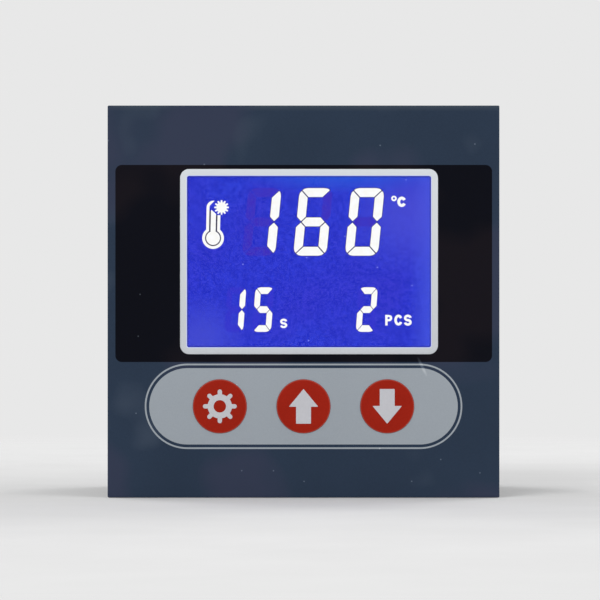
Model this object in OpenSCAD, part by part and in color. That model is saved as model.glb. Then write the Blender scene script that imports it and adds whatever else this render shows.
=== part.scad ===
// Heat press controller for panel mounting: a square face with a lit display and three
// round keys, a deep vented case with two terminal strips, and a pair of jack-screw clamps.
// The origin is the centre of the panel cut-out, in the plane of the panel's front surface.
// The face looks along -Y, +Z is up, and the case runs back along +Y. Millimetres.

/* [Face] */
// Width and height of the square face
front_w = 96; // [88:1:130]
// Projection of the face in front of the panel
front_t = 8; // [7:0.5:12]
// Corner radius of the face
front_r = 0.3; // [0.1:0.1:2]
// Thickness of the printed overlay
overlay_t = 0.8; // [0.5:0.1:1.2]
// Thickness of the bezel's front wall
bezel_wall = 2; // [1.6:0.1:2.6]
// Thickness of the bezel's outer rim
rim_wall = 2.5; // [1.5:0.1:3]
// Thickness of the ribs behind the rim
rim_rib = 1.2; // [0.8:0.1:2]
// Number of ribs behind each side of the rim
rim_ribs = 5; // [1:1:7]
// Thickness of the panel gasket
gasket_t = 1; // [0.5:0.1:2]
// Reach of the face past the case on each side
lip = 5.5; // [5.2:0.1:7]
// Step from the face's edge to the gasket's edge
gasket_inset = 0.6; // [0.3:0.1:1]

/* [Display] */
// Offset of the display to the right of the face's centre
display_x = 1.35; // [-1.5:0.05:1.5]
// Height of the display's centre above the face's centre
display_z = 9.75; // [8:0.05:11]
// Outer width of the display frame
frame_w = 63.2; // [56:0.1:64]
// Outer height of the display frame
frame_h = 45.4; // [40:0.1:46.5]
// Width of the display frame's band
frame_band = 1.7; // [1.5:0.1:3]
// Outer corner radius of the display frame
frame_r = 2.2; // [1:0.1:4]
// Inner corner radius of the display frame
view_r = 0.5; // [0.3:0.1:1]
// Thickness of the clear window
window_t = 1; // [0.8:0.1:1.2]
// Reach of the window under the frame on each side
window_lap = 1.4; // [0.8:0.1:1.4]
// Reach of the display glass past the view on each side
lcd_lap = 1.2; // [1:0.1:2]
// Thickness of the display glass
lcd_t = 2.8; // [2:0.1:3.4]
// Bare edge of the front glass, where the contact strips press
lcd_ledge = 1.6; // [1.5:0.1:2.5]
// Thickness of the light guide behind the glass
backlight_t = 3.2; // [2.5:0.1:4]
// Wall of the display holder
holder_wall = 1.2; // [0.8:0.1:1.4]
// Floor of the display holder
holder_floor = 0.6; // [0.4:0.1:1]
// Thickness of each rubber contact strip
strip_rubber = 1.2; // [0.8:0.1:1.3]
// Number of lamps at the light guide's edge
lamp_n = 4; // [2:1:6]
// Width of each lamp
lamp_w = 2; // [1.5:0.1:2.2]
// Length of each lamp along the guide's edge
lamp_l = 3.5; // [2.5:0.1:4]

/* [Keys] */
// Diameter of each round key
key_d = 13.2; // [10:0.1:14]
// Spacing of the keys
key_pitch = 20.5; // [17.5:0.1:21]
// Height of the key row from the face's centre
key_z = -25.7; // [-27:0.05:-24.5]
// How far a key stands out of the face
key_proud = 0.25; // [0:0.05:0.6]
// Chamfer of the key's edge
key_edge = 0.2; // [0.1:0.05:0.3]
// Gap around each key
key_gap = 0.15; // [0.1:0.05:0.3]
// Reach of the flange that keeps the key in
key_flange = 1.2; // [0.8:0.1:1.6]
// Thickness of the key's flange
key_flange_t = 1; // [0.8:0.1:1.3]
// Diameter of the key's stem
stem_d = 4.4; // [3.6:0.1:5]
// Length of the key's stem
stem_l = 0.6; // [0.4:0.1:0.9]
// Travel of each key
key_travel = 0.5; // [0.25:0.05:0.7]
// Side of each square tactile switch
switch_w = 6; // [5:0.1:7]
// Height of each switch body
switch_h = 3.5; // [3.2:0.1:3.8]
// Diameter of the switch plunger
plunger_d = 3.4; // [2.6:0.1:3.5]
// Depth of the plunger's bore in the switch
switch_bore = 2.2; // [1.8:0.1:2.6]
// Rise of the snap dome under the plunger
dome_h = 0.9; // [0.8:0.05:1.1]
// Thickness of the snap dome
dome_t = 0.12; // [0.08:0.02:0.2]

/* [Case] */
// Depth of the case behind the panel's front surface
case_depth = 62; // [56:1:90]
// Wall of the case
case_wall = 2; // [1.8:0.1:2.4]
// Corner radius of the case
case_r = 2; // [1:0.1:3]
// Wall of the bezel's skirt inside the case
skirt_wall = 1.6; // [1.2:0.1:1.8]
// Length of the bezel's skirt behind the front wall
skirt_l = 15.2; // [14:0.1:16]
// Reach of the skirt's snap hooks
hook_out = 1.4; // [0.8:0.1:1.6]
// Length of each snap hook
hook_l = 3; // [2:0.1:3.5]
// Width of each snap hook
hook_w = 8; // [5:0.5:12]
// Height of the snap hooks above and below the centre
hook_z = 22; // [18:0.5:26]
// Width of each vent slot
vent_w = 2; // [1.2:0.1:2.6]
// Spacing of the vent slots
vent_pitch = 5; // [4:0.1:5.2]
// Number of vent slots in each group on the top and bottom
vent_n = 5; // [3:1:5]
// Number of vent slots in the rear wall
rear_vent_n = 11; // [5:1:13]
// Length of each rear vent slot
rear_vent_l = 22; // [10:1:26]
// Distance of the top and bottom vents from the clamp bracket
vent_side = 7; // [5:0.5:8]
// Distance of the top and bottom vents from the rear wall
vent_end = 8; // [5:0.5:10]
// Distance of the label recess from the bezel's skirt
label_start = 8; // [4:0.5:10]
// Distance of the label recess from the rear wall
label_end = 6; // [4:0.5:10]
// Depth of the blank label recess
label_t = 0.4; // [0.2:0.1:0.8]
// Height of the blank label recess
label_h = 30; // [20:1:34]

/* [Boards] */
// Thickness of the circuit boards
board_t = 1.6; // [1.2:0.1:2]
// Distance of the two main boards' component sides from the centre
board_z = 32; // [30:0.5:33]
// Thickness of the case ribs that hold the main boards
groove_rib = 1.2; // [0.8:0.1:1.6]
// Reach of the case ribs that hold the main boards
groove_reach = 2; // [1.2:0.1:2.5]
// Radius of the screws that hold the display board
board_screw_r = 1.1; // [0.8:0.05:1.2]
// Radius of the display board's bosses
boss_r = 1.9; // [1.7:0.05:2]
// Pins in each link between the boards
link_pins = 10; // [4:1:12]
// Spacing of the link's pins
link_pitch = 2.54; // [2:0.01:2.54]
// Height of the links' pin housings
link_h = 2.54; // [2:0.01:2.54]
// Thickness of the links' pins
link_pin = 0.64; // [0.5:0.01:0.7]
// Rise of the links' pins above their main board
link_rise = 1.2; // [1:0.1:1.6]
// Reach of the links' pins over their main board
link_reach = 3; // [2.5:0.1:4]
// Reach of the display board's screws into their bosses
board_screw_l = 4; // [3:0.1:4.5]
// Height of the display board's screw heads
board_head_h = 1.2; // [0.8:0.1:1.6]

/* [Components] */
// Width of the transformer
transformer_w = 32; // [24:0.5:33]
// Length of the transformer over its windings
transformer_l = 26; // [20:0.5:27]
// Height of the transformer
transformer_h = 24; // [16:0.5:30]
// Width of the transformer's windings
winding_w = 30; // [20:0.5:31]
// Length of the transformer's core
core_l = 18; // [12:0.5:19]
// Width of the relay
relay_w = 19; // [15:0.5:21]
// Length of the relay
relay_l = 15.5; // [10:0.5:17]
// Height of the relay
relay_h = 15.5; // [10:0.5:22]
// Width of the suppression capacitor
film_w = 18; // [13:0.5:21]
// Thickness of the suppression capacitor
film_l = 7; // [5:0.5:8]
// Height of the suppression capacitor
film_h = 13; // [9:0.5:16]
// Radius of the varistor's disc
varistor_r = 5; // [3.5:0.1:5.5]
// Thickness of the varistor's disc
varistor_t = 4; // [3:0.1:4.5]
// Radius of the fuse
fuse_r = 2.6; // [2.2:0.1:3]
// Length of the fuse
fuse_l = 20; // [15:0.5:21]
// Height of the fuse's axis above its board
fuse_rise = 4; // [3.8:0.1:6]
// Length of each fuse clip
clip_l = 5; // [3:0.1:6]
// Thickness of the fuse clips' cheeks
clip_t = 0.8; // [0.5:0.1:1.2]
// Radius of each smoothing capacitor
can_r = 5; // [4:0.1:5.4]
// Height of each smoothing capacitor
can_h = 16; // [10:0.5:20]
// Width of the voltage regulator
regulator_w = 10; // [8:0.1:12]
// Height of the voltage regulator
regulator_h = 18; // [14:0.5:20]
// Thickness of the voltage regulator
regulator_t = 4.5; // [3.5:0.1:5]
// Width of the heat sink
sink_w = 18; // [12:0.5:20]
// Height of the heat sink
sink_h = 20; // [12:0.5:24]
// Reach of the heat sink's fins
sink_l = 10; // [5:0.5:12]
// Thickness of the heat sink's back
sink_t = 2; // [1.2:0.1:3]
// Thickness of each heat sink fin
fin_t = 1.5; // [0.8:0.1:1.8]
// Number of heat sink fins
fin_n = 6; // [3:1:6]
// Radius of the buzzer
buzzer_r = 6; // [4.5:0.1:6.5]
// Height of the buzzer
buzzer_h = 9; // [6:0.5:12]
// Width of the sensor amplifier
chip_w = 10; // [8:0.1:12]
// Length of the sensor amplifier
chip_l = 6.4; // [5:0.1:7]
// Height of the sensor amplifier
chip_h = 3.8; // [3:0.1:5]
// Side of the microcontroller
mcu_w = 12; // [9:0.5:14]
// Thickness of the microcontroller
mcu_t = 1.6; // [1:0.1:2]
// Length of the microcontroller's legs
mcu_leg = 1; // [0.6:0.1:1.4]

/* [Terminals] */
// Screw terminals in each strip
ways = 6; // [3:1:6]
// Spacing of the terminals
terminal_pitch = 9.5; // [8.5:0.1:10]
// Thickness of the barriers between terminals
barrier = 1.5; // [1:0.1:2]
// Height of the barriers above the terminal deck
barrier_h = 5; // [4.4:0.1:7]
// Height of each terminal strip above its board
strip_h = 14; // [13:0.5:15]
// Length of each terminal strip inside the case
strip_in = 13; // [11:0.5:14]
// Step of the terminal deck behind the case
deck_out = 0.5; // [0.3:0.1:2]
// Radius of the terminal screws
terminal_screw_r = 1.75; // [1.2:0.05:2]
// Radius of the terminal screw heads
terminal_head_r = 3; // [2.4:0.1:3.2]
// Side of the square washers
washer_w = 6.6; // [5.6:0.1:6.8]
// Thickness of the plates and washers
terminal_t = 0.8; // [0.5:0.1:1]
// Height of the terminal screw heads
terminal_head_h = 2; // [1.4:0.1:2.4]
// Width of the drive slots
drive_slot = 0.9; // [0.6:0.1:1.2]

/* [Clamps] */
// Radius of each jack screw
jack_r = 1.5; // [1.2:0.05:1.6]
// Length of each jack screw's thread
jack_l = 26; // [24:0.5:30]
// Radius of each jack screw's head
jack_head_r = 2.3; // [2:0.1:2.4]
// Height of each jack screw's head
jack_head_h = 2.2; // [1.6:0.1:3]
// Radius of the pin at each jack screw's tip
tip_r = 1; // [0.8:0.05:1.1]
// Radius of the foot that presses on the panel
foot_r = 2.3; // [2:0.1:2.4]
// Length of the foot
foot_l = 4; // [3.5:0.1:5]
// Distance of the foot from the panel's front surface at rest
foot_y = 4.6; // [4:0.1:6]
// Width of each clamp bracket
bracket_w = 14; // [12:0.5:18]
// Length of each clamp bracket
bracket_l = 8; // [7:0.5:10]
// Distance of the bracket from the panel's front surface
bracket_y = 18; // [17:0.5:19]
// Thickness of the hooks under the case's wall
bracket_hook = 1.6; // [1.2:0.1:2]

/* [Clearances] */
// Gap where parts slide or drop together
fit_gap = 0.15; // [0.1:0.01:0.2]
// Radial gap of a turning pin in its bore
run_gap = 0.05; // [0.03:0.01:0.08]
// Gap beside parts that only pass each other
pass_gap = 0.4; // [0.3:0.05:0.5]

/* [Hidden] */
$fn = 64;

// Colours
ink = "#303c4e";
moulding = "#23262b";
pale = "#d4d8dc";
key_red = "#962117";
board_green = "#1f5a35";
steel = "#b9bcc0";
brass = "#c9a24a";

// Planes along Y, from the face to the display board
face_y = -front_t;
overlay_back = face_y + overlay_t;
wall_back = overlay_back + bezel_wall;
rim_back = -gasket_t;
skirt_back = wall_back + skirt_l;
lcd_front = wall_back + fit_gap;
lcd_mid = lcd_front + lcd_t / 2;
lcd_back = lcd_front + lcd_t;
guide_back = lcd_back + backlight_t;
board_front = guide_back + holder_floor;
board_back = board_front + board_t;

// Half sizes of the nested squares
case_w = front_w - 2 * lip;
case_half = case_w / 2;
case_in = case_half - case_wall;
skirt_half = case_in - fit_gap;
skirt_in = skirt_half - skirt_wall;
display_board_half = skirt_in - pass_gap;
gasket_outer = front_w / 2 - gasket_inset;
gasket_inner = case_half + pass_gap;

// The display
view_w = frame_w - 2 * frame_band;
view_h = frame_h - 2 * frame_band;
window_w = view_w + 2 * window_lap;
window_h = view_h + 2 * window_lap;
lcd_w = view_w + 2 * lcd_lap;
lcd_h = view_h + 2 * lcd_lap;
guide_h = lcd_h - 2 * (strip_rubber + 2 * fit_gap);
lamp_room = lamp_w + 2 * fit_gap;
lamp_pitch = guide_h / lamp_n;

// The keys and their switches
key_xs = [-key_pitch, 0, key_pitch];
key_r = key_d / 2;
boss_x = key_pitch + key_r + key_flange + boss_r + pass_gap;
boss_zs = [key_z - key_r + boss_r, key_z + key_r - boss_r];
flange_front = wall_back + fit_gap;
flange_back = flange_front + key_flange_t;
plunger_top = flange_back + stem_l;
switch_top = board_front - switch_h;
bore_floor = switch_top + switch_bore;
dome_top = bore_floor - dome_h;
dome_r = plunger_d / 2;
dome_crown = 0.5 * dome_r;

// The snap hooks and the case windows they catch
hook_back = skirt_back - fit_gap;
hook_front = hook_back - hook_l;

// The main boards
case_floor = case_depth - case_wall;
board_clear = 2;
main_front = skirt_back + board_clear;
main_back = case_floor - fit_gap;
main_half = case_in - fit_gap;
link_end = 0.5;
link_w = link_pins * link_pitch + 2 * link_end;

// Rows and columns of the components on the main boards
component_gap = 1;
first_row = link_reach + component_gap / 2;
side_x = case_in - groove_reach - pass_gap;
transformer_x = -side_x + transformer_w / 2;
right_x = side_x - max(varistor_r, fuse_r + clip_t);
middle_x = (transformer_x + transformer_w / 2 + right_x - varistor_r) / 2;
sink_x = -side_x + 4 * can_r + 2 * component_gap + sink_w / 2;
sink_y = first_row + regulator_t;
buzzer_x = side_x - buzzer_r;

// The terminal strips
strip_w = ways * terminal_pitch + barrier;
strip_front = case_depth - strip_in;
deck_y = case_depth + deck_out;
barrier_back = deck_y + barrier_h;
plate_back = deck_y + terminal_t;
washer_back = plate_back + terminal_t;
terminal_z = board_z - (strip_h - barrier) / 2;
terminal_shank = 8;
terminal_clear = terminal_pitch - barrier;

// The clamps
bracket_base = case_half + fit_gap;
bracket_top = front_w / 2 - pass_gap;
jack_z = (case_half + bracket_top) / 2 + fit_gap / 2;
foot_back = foot_y + foot_l;
tip_front = foot_y + foot_l / 3;
jack_front = foot_back + fit_gap;
jack_back = jack_front + jack_l;
bracket_wall = 1.8;
bracket_crown = jack_r + run_gap + bracket_wall;
bracket_shoulder = bracket_base + 0.4 * (bracket_top - bracket_base);
bracket_leg = 2.5;
bracket_toe = 2.5;
bracket_leg_w = 3.6;
bracket_leg_x = bracket_w / 2 - bracket_leg_w / 2 - 0.6;
clamp_slot_front = bracket_y - bracket_toe - pass_gap;
clamp_slot_back = bracket_y + bracket_leg + fit_gap;

// Vents beside the clamps
vent_x0 = bracket_w / 2 + vent_side;
vent_front = bracket_y + bracket_l;
vent_back = case_floor - vent_end;
label_front = skirt_back + label_start;
label_back = case_floor - label_end;

// Helpers

// A 2D outline in X and Z, thickened along Y from y0 to y1
module slab(y0, y1) {
    translate([0, y1, 0]) rotate([90, 0, 0]) linear_extrude(y1 - y0) children();
}

// A block between two corners
module block(x0, x1, y0, y1, z0, z1) {
    translate([x0, y0, z0]) cube([x1 - x0, y1 - y0, z1 - z0]);
}

// A round bar along Y
module rod(y0, y1, r, x = 0, z = 0) {
    translate([x, y1, z]) rotate([90, 0, 0]) cylinder(h = y1 - y0, r = r);
}

// A rectangle with round corners, centred
module round_rect(w, h, r) {
    square([w - 2 * r, h], center = true);
    square([w, h - 2 * r], center = true);
    for (x = [-1, 1], z = [-1, 1]) translate([x * (w / 2 - r), z * (h / 2 - r)]) circle(r);
}

// A square ring, centred
module square_ring(outer, inner) {
    difference() {
        square(2 * outer, center = true);
        square(2 * inner, center = true);
    }
}

// A turned shape about the Y axis through x and z, from a profile of [radius, y] points
module turned(points, x = 0, z = 0) {
    translate([x, 0, z]) rotate([-90, 0, 0]) mirror([0, 1, 0]) rotate_extrude() polygon(points);
}

// A copy above the centre plane and its mirror below
module above_and_below() {
    children();
    mirror([0, 0, 1]) children();
}

module at_bosses() {
    for (x = [-1, 1], z = boss_zs) translate([x * boss_x, 0, z]) children();
}

module at_display() {
    translate([display_x, 0, display_z]) children();
}

// Front assembly

module graphic_overlay() {
    color(ink) difference() {
        slab(face_y, overlay_back) round_rect(front_w, front_w, front_r);
        at_display() slab(face_y - 1, overlay_back + 1)
            round_rect(frame_w + 2 * fit_gap, frame_h + 2 * fit_gap, frame_r + fit_gap);
        for (x = key_xs) rod(face_y - 1, overlay_back + 1, key_r + key_gap, x, key_z);
    }
}

module display_frame() {
    color(pale) at_display() difference() {
        slab(face_y, overlay_back) round_rect(frame_w, frame_h, frame_r);
        slab(face_y - 1, overlay_back + 1) round_rect(view_w, view_h, view_r);
    }
}

module display_window() {
    color("#a9bde0") at_display()
        slab(overlay_back, overlay_back + window_t) square([window_w, window_h], center = true);
}

module bezel() {
    color(moulding) difference() {
        union() {
            slab(overlay_back, wall_back) round_rect(front_w, front_w, front_r);
            slab(wall_back, rim_back) difference() {
                round_rect(front_w, front_w, front_r);
                square(front_w - 2 * rim_wall, center = true);
            }
            slab(wall_back, skirt_back) square_ring(skirt_half, skirt_in);
            at_bosses() rod(wall_back, board_front, boss_r);
            for (a = [0, 90, 180, 270]) rotate([0, a, 0]) bezel_side_ribs();
            for (x = [-1, 1], z = [-1, 1]) snap_hook(x, z);
        }
        at_display() slab(overlay_back - 1, overlay_back + window_t)
            square([window_w + 2 * fit_gap, window_h + 2 * fit_gap], center = true);
        at_display() slab(overlay_back, wall_back + 1)
            square([view_w + 2 * fit_gap, view_h + 2 * fit_gap], center = true);
        for (x = key_xs) rod(overlay_back - 1, wall_back + 1, key_r + key_gap, x, key_z);
        at_bosses() rod(wall_back + bezel_wall / 2, board_front + 1, board_screw_r + run_gap);
    }
}

// Ribs between the rim and the case, along the right-hand side
module bezel_side_ribs() {
    step = (2 * case_half) / (rim_ribs + 1);
    for (i = [1 : rim_ribs]) {
        z = -case_half + i * step;
        block(case_half + pass_gap, front_w / 2 - rim_wall, wall_back, rim_back, z - rim_rib / 2,
            z + rim_rib / 2);
    }
}

// A hook on the skirt, square at the front and sloped at the back
module snap_hook(x, z) {
    translate([0, 0, z * hook_z - hook_w / 2]) linear_extrude(hook_w) polygon([
        [x * skirt_half, hook_front],
        [x * (skirt_half + hook_out), hook_front],
        [x * skirt_half, hook_back]]);
}

module panel_gasket() {
    color("#17181a") slab(rim_back, 0) square_ring(gasket_outer, gasket_inner);
}

// Display

module lcd_glass() {
    color("#2c37c8") at_display() {
        slab(lcd_front, lcd_mid) square([lcd_w, lcd_h], center = true);
        slab(lcd_mid, lcd_back) square([lcd_w, lcd_h - 2 * lcd_ledge], center = true);
    }
}

module lamp_places() {
    for (i = [0 : lamp_n - 1])
        translate([-lcd_w / 2 + fit_gap, 0, (i + 0.5) * lamp_pitch - guide_h / 2]) children();
}

module light_guide() {
    color("white") at_display()
        block(-lcd_w / 2 + lamp_room, lcd_w / 2, lcd_back, guide_back, -guide_h / 2, guide_h / 2);
}

module backlight_lamps() {
    color("ivory") at_display() lamp_places()
        block(0, lamp_w, lcd_back + fit_gap, board_front, -lamp_l / 2, lamp_l / 2);
}

module lcd_holder() {
    color("gainsboro") at_display() difference() {
        union() {
            slab(lcd_mid, board_front) difference() {
                square([lcd_w + 2 * (fit_gap + holder_wall), lcd_h + 2 * (fit_gap + holder_wall)],
                    center = true);
                square([lcd_w + 2 * fit_gap, lcd_h + 2 * fit_gap], center = true);
            }
            slab(guide_back, board_front) square([lcd_w + 4 * fit_gap, guide_h], center = true);
        }
        lamp_places() block(-2 * fit_gap, lamp_w + fit_gap, guide_back - 1, board_front + 1,
            -lamp_l / 2 - fit_gap, lamp_l / 2 + fit_gap);
    }
}

module contact_strips() {
    z = lcd_h / 2 - strip_rubber;
    color("hotpink") at_display() above_and_below()
        block(-lcd_w / 2, lcd_w / 2, lcd_mid, board_front, z, z + strip_rubber);
}

module display_board() {
    color(board_green) difference() {
        slab(board_front, board_back) square(2 * display_board_half, center = true);
        at_bosses() rod(board_front - 1, board_back + 1, board_screw_r + fit_gap);
    }
}

module board_screws() {
    head_r = 0.9 * boss_r;
    head_back = board_back + board_head_h;
    color(steel) at_bosses() difference() {
        union() {
            rod(board_front - board_screw_l, board_back, board_screw_r);
            rod(board_back, head_back, head_r);
        }
        block(-head_r - 1, head_r + 1, head_back - board_head_h / 2, head_back + 1, -drive_slot / 2,
            drive_slot / 2);
    }
}

module switch_bodies() {
    color("#1c1c1e") for (x = key_xs) translate([x, 0, key_z]) difference() {
        block(-switch_w / 2, switch_w / 2, switch_top, board_front, -switch_w / 2, switch_w / 2);
        rod(switch_top - 1, bore_floor, plunger_d / 2 + run_gap);
    }
}

module microcontroller() {
    half = mcu_w / 2;
    color("#202225") translate([0, 0, display_z]) {
        block(-half, half, board_back, board_back + mcu_t, -half, half);
        for (a = [0, 90, 180, 270], i = [-5 : 5]) rotate([0, a, 0]) translate([0, 0, i * mcu_w / 12])
            block(half, half + mcu_leg, board_back, board_back + mcu_t / 5, -mcu_w / 60, mcu_w / 60);
    }
}

// Keys

// A round key with a flange behind the bezel's wall and a stem to its switch
module key_cap(x) {
    top = face_y - key_proud;
    color(key_red) turned([
        [0, top], [key_r - key_edge, top], [key_r, top + key_edge], [key_r, flange_front],
        [key_r + key_flange, flange_front], [key_r + key_flange, flange_back],
        [stem_d / 2, flange_back], [stem_d / 2, plunger_top], [0, plunger_top]], x, key_z);
}

module plunger(x) {
    color("whitesmoke") rod(plunger_top, dome_top, plunger_d / 2, x, key_z);
}

// A sprung steel dome in the bottom of the switch's bore
module dome(x) {
    color(steel) turned([
        [0, dome_top], [dome_crown, dome_top], [dome_r, bore_floor - dome_t], [dome_r, bore_floor],
        [dome_r - dome_t, bore_floor], [dome_crown - dome_t, dome_top + dome_t],
        [0, dome_top + dome_t]], x, key_z);
}

// Case

module case() {
    color(moulding) {
        difference() {
            slab(wall_back, case_depth) round_rect(case_w, case_w, case_r);
            slab(wall_back - 1, case_floor) square(2 * case_in, center = true);
            above_and_below() {
                strip_window();
                clamp_slots();
                top_vents();
            }
            for (x = [-1, 1], z = [-1, 1]) hook_window(x, z);
            rear_vents();
            label_recess();
        }
        above_and_below() for (x = [-1, 1]) board_groove(x);
    }
}

module strip_window() {
    block(-strip_w / 2 - fit_gap, strip_w / 2 + fit_gap, case_floor - 1, case_depth + 1,
        board_z - strip_h - fit_gap, board_z + fit_gap);
}

module clamp_slots() {
    for (x = [-1, 1]) translate([x * bracket_leg_x, 0, 0])
        block(-bracket_leg_w / 2 - fit_gap, bracket_leg_w / 2 + fit_gap, clamp_slot_front,
            clamp_slot_back, case_in - 1, case_half + 1);
}

module top_vents() {
    for (x = [-1, 1], i = [0 : vent_n - 1]) translate([x * (vent_x0 + i * vent_pitch), 0, 0])
        block(-vent_w / 2, vent_w / 2, vent_front, vent_back, case_in - 1, case_half + 1);
}

module rear_vents() {
    for (i = [0 : rear_vent_n - 1]) translate([(i - (rear_vent_n - 1) / 2) * vent_pitch, 0, 0])
        block(-vent_w / 2, vent_w / 2, case_floor - 1, case_depth + 1, -rear_vent_l / 2, rear_vent_l / 2);
}

module hook_window(x, z) {
    translate([x * case_half, 0, z * hook_z])
        block(-case_wall - 1, case_wall + 1, hook_front - fit_gap, hook_back + fit_gap,
            -hook_w / 2 - fit_gap, hook_w / 2 + fit_gap);
}

module label_recess() {
    block(case_half - label_t, case_half + 1, label_front, label_back, -label_h / 2, label_h / 2);
}

// A pair of ribs on a side wall that hold the edge of a main board
module board_groove(x) {
    inner = case_in - groove_reach;
    translate([x * (case_in + inner) / 2, 0, 0]) {
        for (z = [board_z - fit_gap - groove_rib, board_z + board_t + fit_gap])
            block(-groove_reach / 2 - 0.01, groove_reach / 2 + 0.01, main_front, case_floor + 0.01, z,
                z + groove_rib);
    }
}

// Main boards and what they carry

module main_board() {
    block(-main_half, main_half, main_front, main_back, board_z, board_z + board_t);
}

module control_board() {
    color(board_green) main_board();
}

module power_board() {
    color(board_green) mirror([0, 0, 1]) main_board();
}

// A socket on the display board with a row of bent pins down to each main board
module board_links() {
    z = board_z - link_rise - link_pin;
    color("#26282c") above_and_below() {
        block(-link_w / 2, link_w / 2, board_back, main_front, z - link_h / 2, z + link_h / 2);
        for (i = [0 : link_pins - 1]) translate([(i - (link_pins - 1) / 2) * link_pitch, 0, 0]) {
            block(-link_pin / 2, link_pin / 2, main_front - link_pin, main_front + link_reach,
                z - link_pin / 2, z + link_pin / 2);
            block(-link_pin / 2, link_pin / 2, main_front + link_reach - link_pin,
                main_front + link_reach, z, board_z);
        }
    }
}

// Components on the power board stand on its upper face
module on_power_board(x, y) {
    translate([x, main_front + y, -board_z]) children();
}

// Components on the control board hang from its lower face
module on_control_board(x, y) {
    translate([x, main_front + y, board_z]) mirror([0, 0, 1]) children();
}

// A block standing on a board, with its top edges stepped in
module component(w, l, h, step = 0.6) {
    block(-w / 2, w / 2, -l / 2, l / 2, 0, h - step);
    block(-w / 2 + step, w / 2 - step, -l / 2 + step, l / 2 - step, h - step, h);
}

module transformer() {
    core_step = 1.5;
    color("#3a3f45") on_power_board(transformer_x, first_row + transformer_l / 2) {
        component(transformer_w, core_l, transformer_h, core_step);
        block(-winding_w / 2, winding_w / 2, -transformer_l / 2, transformer_l / 2, transformer_h / 6,
            transformer_h * 5 / 6);
    }
}

module relay() {
    color("#2456a5") on_power_board(middle_x, first_row + film_l + component_gap + relay_l / 2)
        component(relay_w, relay_l, relay_h);
}

module suppression_capacitor() {
    color("#d8b33c") on_power_board(middle_x, first_row + film_l / 2) component(film_w, film_l, film_h);
}

// A dipped disc on two leads
module varistor() {
    lead = 0.4;
    rise = 1.2;
    color("#2e6fb0") on_power_board(right_x, pass_gap + fuse_l + component_gap + varistor_t / 2) {
        translate([0, varistor_t / 2, varistor_r + rise]) rotate([90, 0, 0])
            cylinder(h = varistor_t, r = varistor_r);
        for (x = [-1, 1]) translate([x * varistor_r / 2, 0, 0])
            block(-lead, lead, -lead, lead, 0, rise + varistor_r / 2);
    }
}

module at_fuse() {
    on_power_board(right_x, pass_gap + fuse_l / 2) children();
}

module fuse() {
    color("#cfe0e8") at_fuse()
        translate([0, fuse_l / 2, fuse_rise]) rotate([90, 0, 0]) cylinder(h = fuse_l, r = fuse_r);
}

module fuse_clips() {
    cheek = fuse_r + clip_t;
    color(brass) at_fuse() for (y = [-1, 1])
        translate([0, y * (fuse_l - clip_l) / 2, 0]) difference() {
            block(-cheek, cheek, -clip_l / 2, clip_l / 2, 0, fuse_rise + fuse_r);
            translate([0, clip_l, fuse_rise]) rotate([90, 0, 0])
                cylinder(h = 2 * clip_l, r = fuse_r + run_gap);
            block(-fuse_r + clip_t, fuse_r - clip_t, -clip_l, clip_l, fuse_rise, fuse_rise + 2 * fuse_r);
        }
}

// Two cans, each with a groove rolled in near its foot
module smoothing_capacitors() {
    foot = can_h / 10;
    groove = 0.4;
    color("#1d2b52") for (i = [0, 1])
        on_control_board(-side_x + can_r + i * (2 * can_r + component_gap), first_row + can_r) {
            cylinder(h = foot, r = can_r);
            translate([0, 0, foot]) cylinder(h = foot, r = can_r - groove);
            translate([0, 0, 2 * foot]) cylinder(h = can_h - 2 * foot, r = can_r);
        }
}

// A body with a bare tab above it and three legs, its back against the heat sink
module voltage_regulator() {
    leg_h = regulator_h / 6;
    leg = 0.4;
    color("#1f2023") on_control_board(sink_x, sink_y) {
        block(-regulator_w / 2, regulator_w / 2, -regulator_t, 0, leg_h, regulator_h * 2 / 3);
        block(-regulator_w / 2, regulator_w / 2, -regulator_t / 3, 0, regulator_h * 2 / 3, regulator_h);
        for (x = [-1, 0, 1]) translate([x * regulator_w / 4, -regulator_t / 2, 0])
            block(-leg, leg, -leg, leg, 0, leg_h);
    }
}

module heat_sink() {
    step = (sink_w - fin_t) / (fin_n - 1);
    color("silver") on_control_board(sink_x, sink_y) {
        block(-sink_w / 2, sink_w / 2, 0, sink_t, 0, sink_h);
        for (i = [0 : fin_n - 1]) translate([-sink_w / 2 + i * step, 0, 0])
            block(0, fin_t, sink_t, sink_l, 0, sink_h);
    }
}

module sensor_amplifier() {
    stand = 0.5;
    leg = 0.5;
    color("#202225") on_control_board(buzzer_x, first_row + 2 * buzzer_r + component_gap + chip_l / 2) {
        block(-chip_w / 2, chip_w / 2, -chip_l / 2, chip_l / 2, stand, chip_h);
        for (i = [-1.5 : 1.5], y = [-1, 1]) translate([i * chip_w / 4, y * (chip_l / 2 + leg), 0])
            block(-leg / 2, leg / 2, -leg, leg, 0, chip_h / 2);
    }
}

module buzzer() {
    color("#151517") on_control_board(buzzer_x, first_row + buzzer_r) difference() {
        cylinder(h = buzzer_h, r = buzzer_r);
        translate([0, 0, buzzer_h * 2 / 3]) cylinder(h = buzzer_h, r = buzzer_r / 5);
    }
}

// Terminals

module at_terminals() {
    for (i = [0 : ways - 1])
        translate([(i - (ways - 1) / 2) * terminal_pitch, 0, terminal_z]) children();
}

// A moulded strip with a deck of terminals, open towards the top
module terminal_strip() {
    difference() {
        union() {
            block(-strip_w / 2, strip_w / 2, strip_front, deck_y, board_z - strip_h, board_z);
            for (i = [0 : ways]) translate([(i - ways / 2) * terminal_pitch, 0, 0])
                block(-barrier / 2, barrier / 2, deck_y, barrier_back, board_z - strip_h, board_z);
            block(-strip_w / 2, strip_w / 2, deck_y, barrier_back, board_z - strip_h,
                board_z - strip_h + barrier);
        }
        at_terminals() rod(deck_y - terminal_shank - 1, deck_y + 1, terminal_screw_r + run_gap);
    }
}

module terminal_strip_upper() {
    color("#1b1d20") terminal_strip();
}

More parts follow.
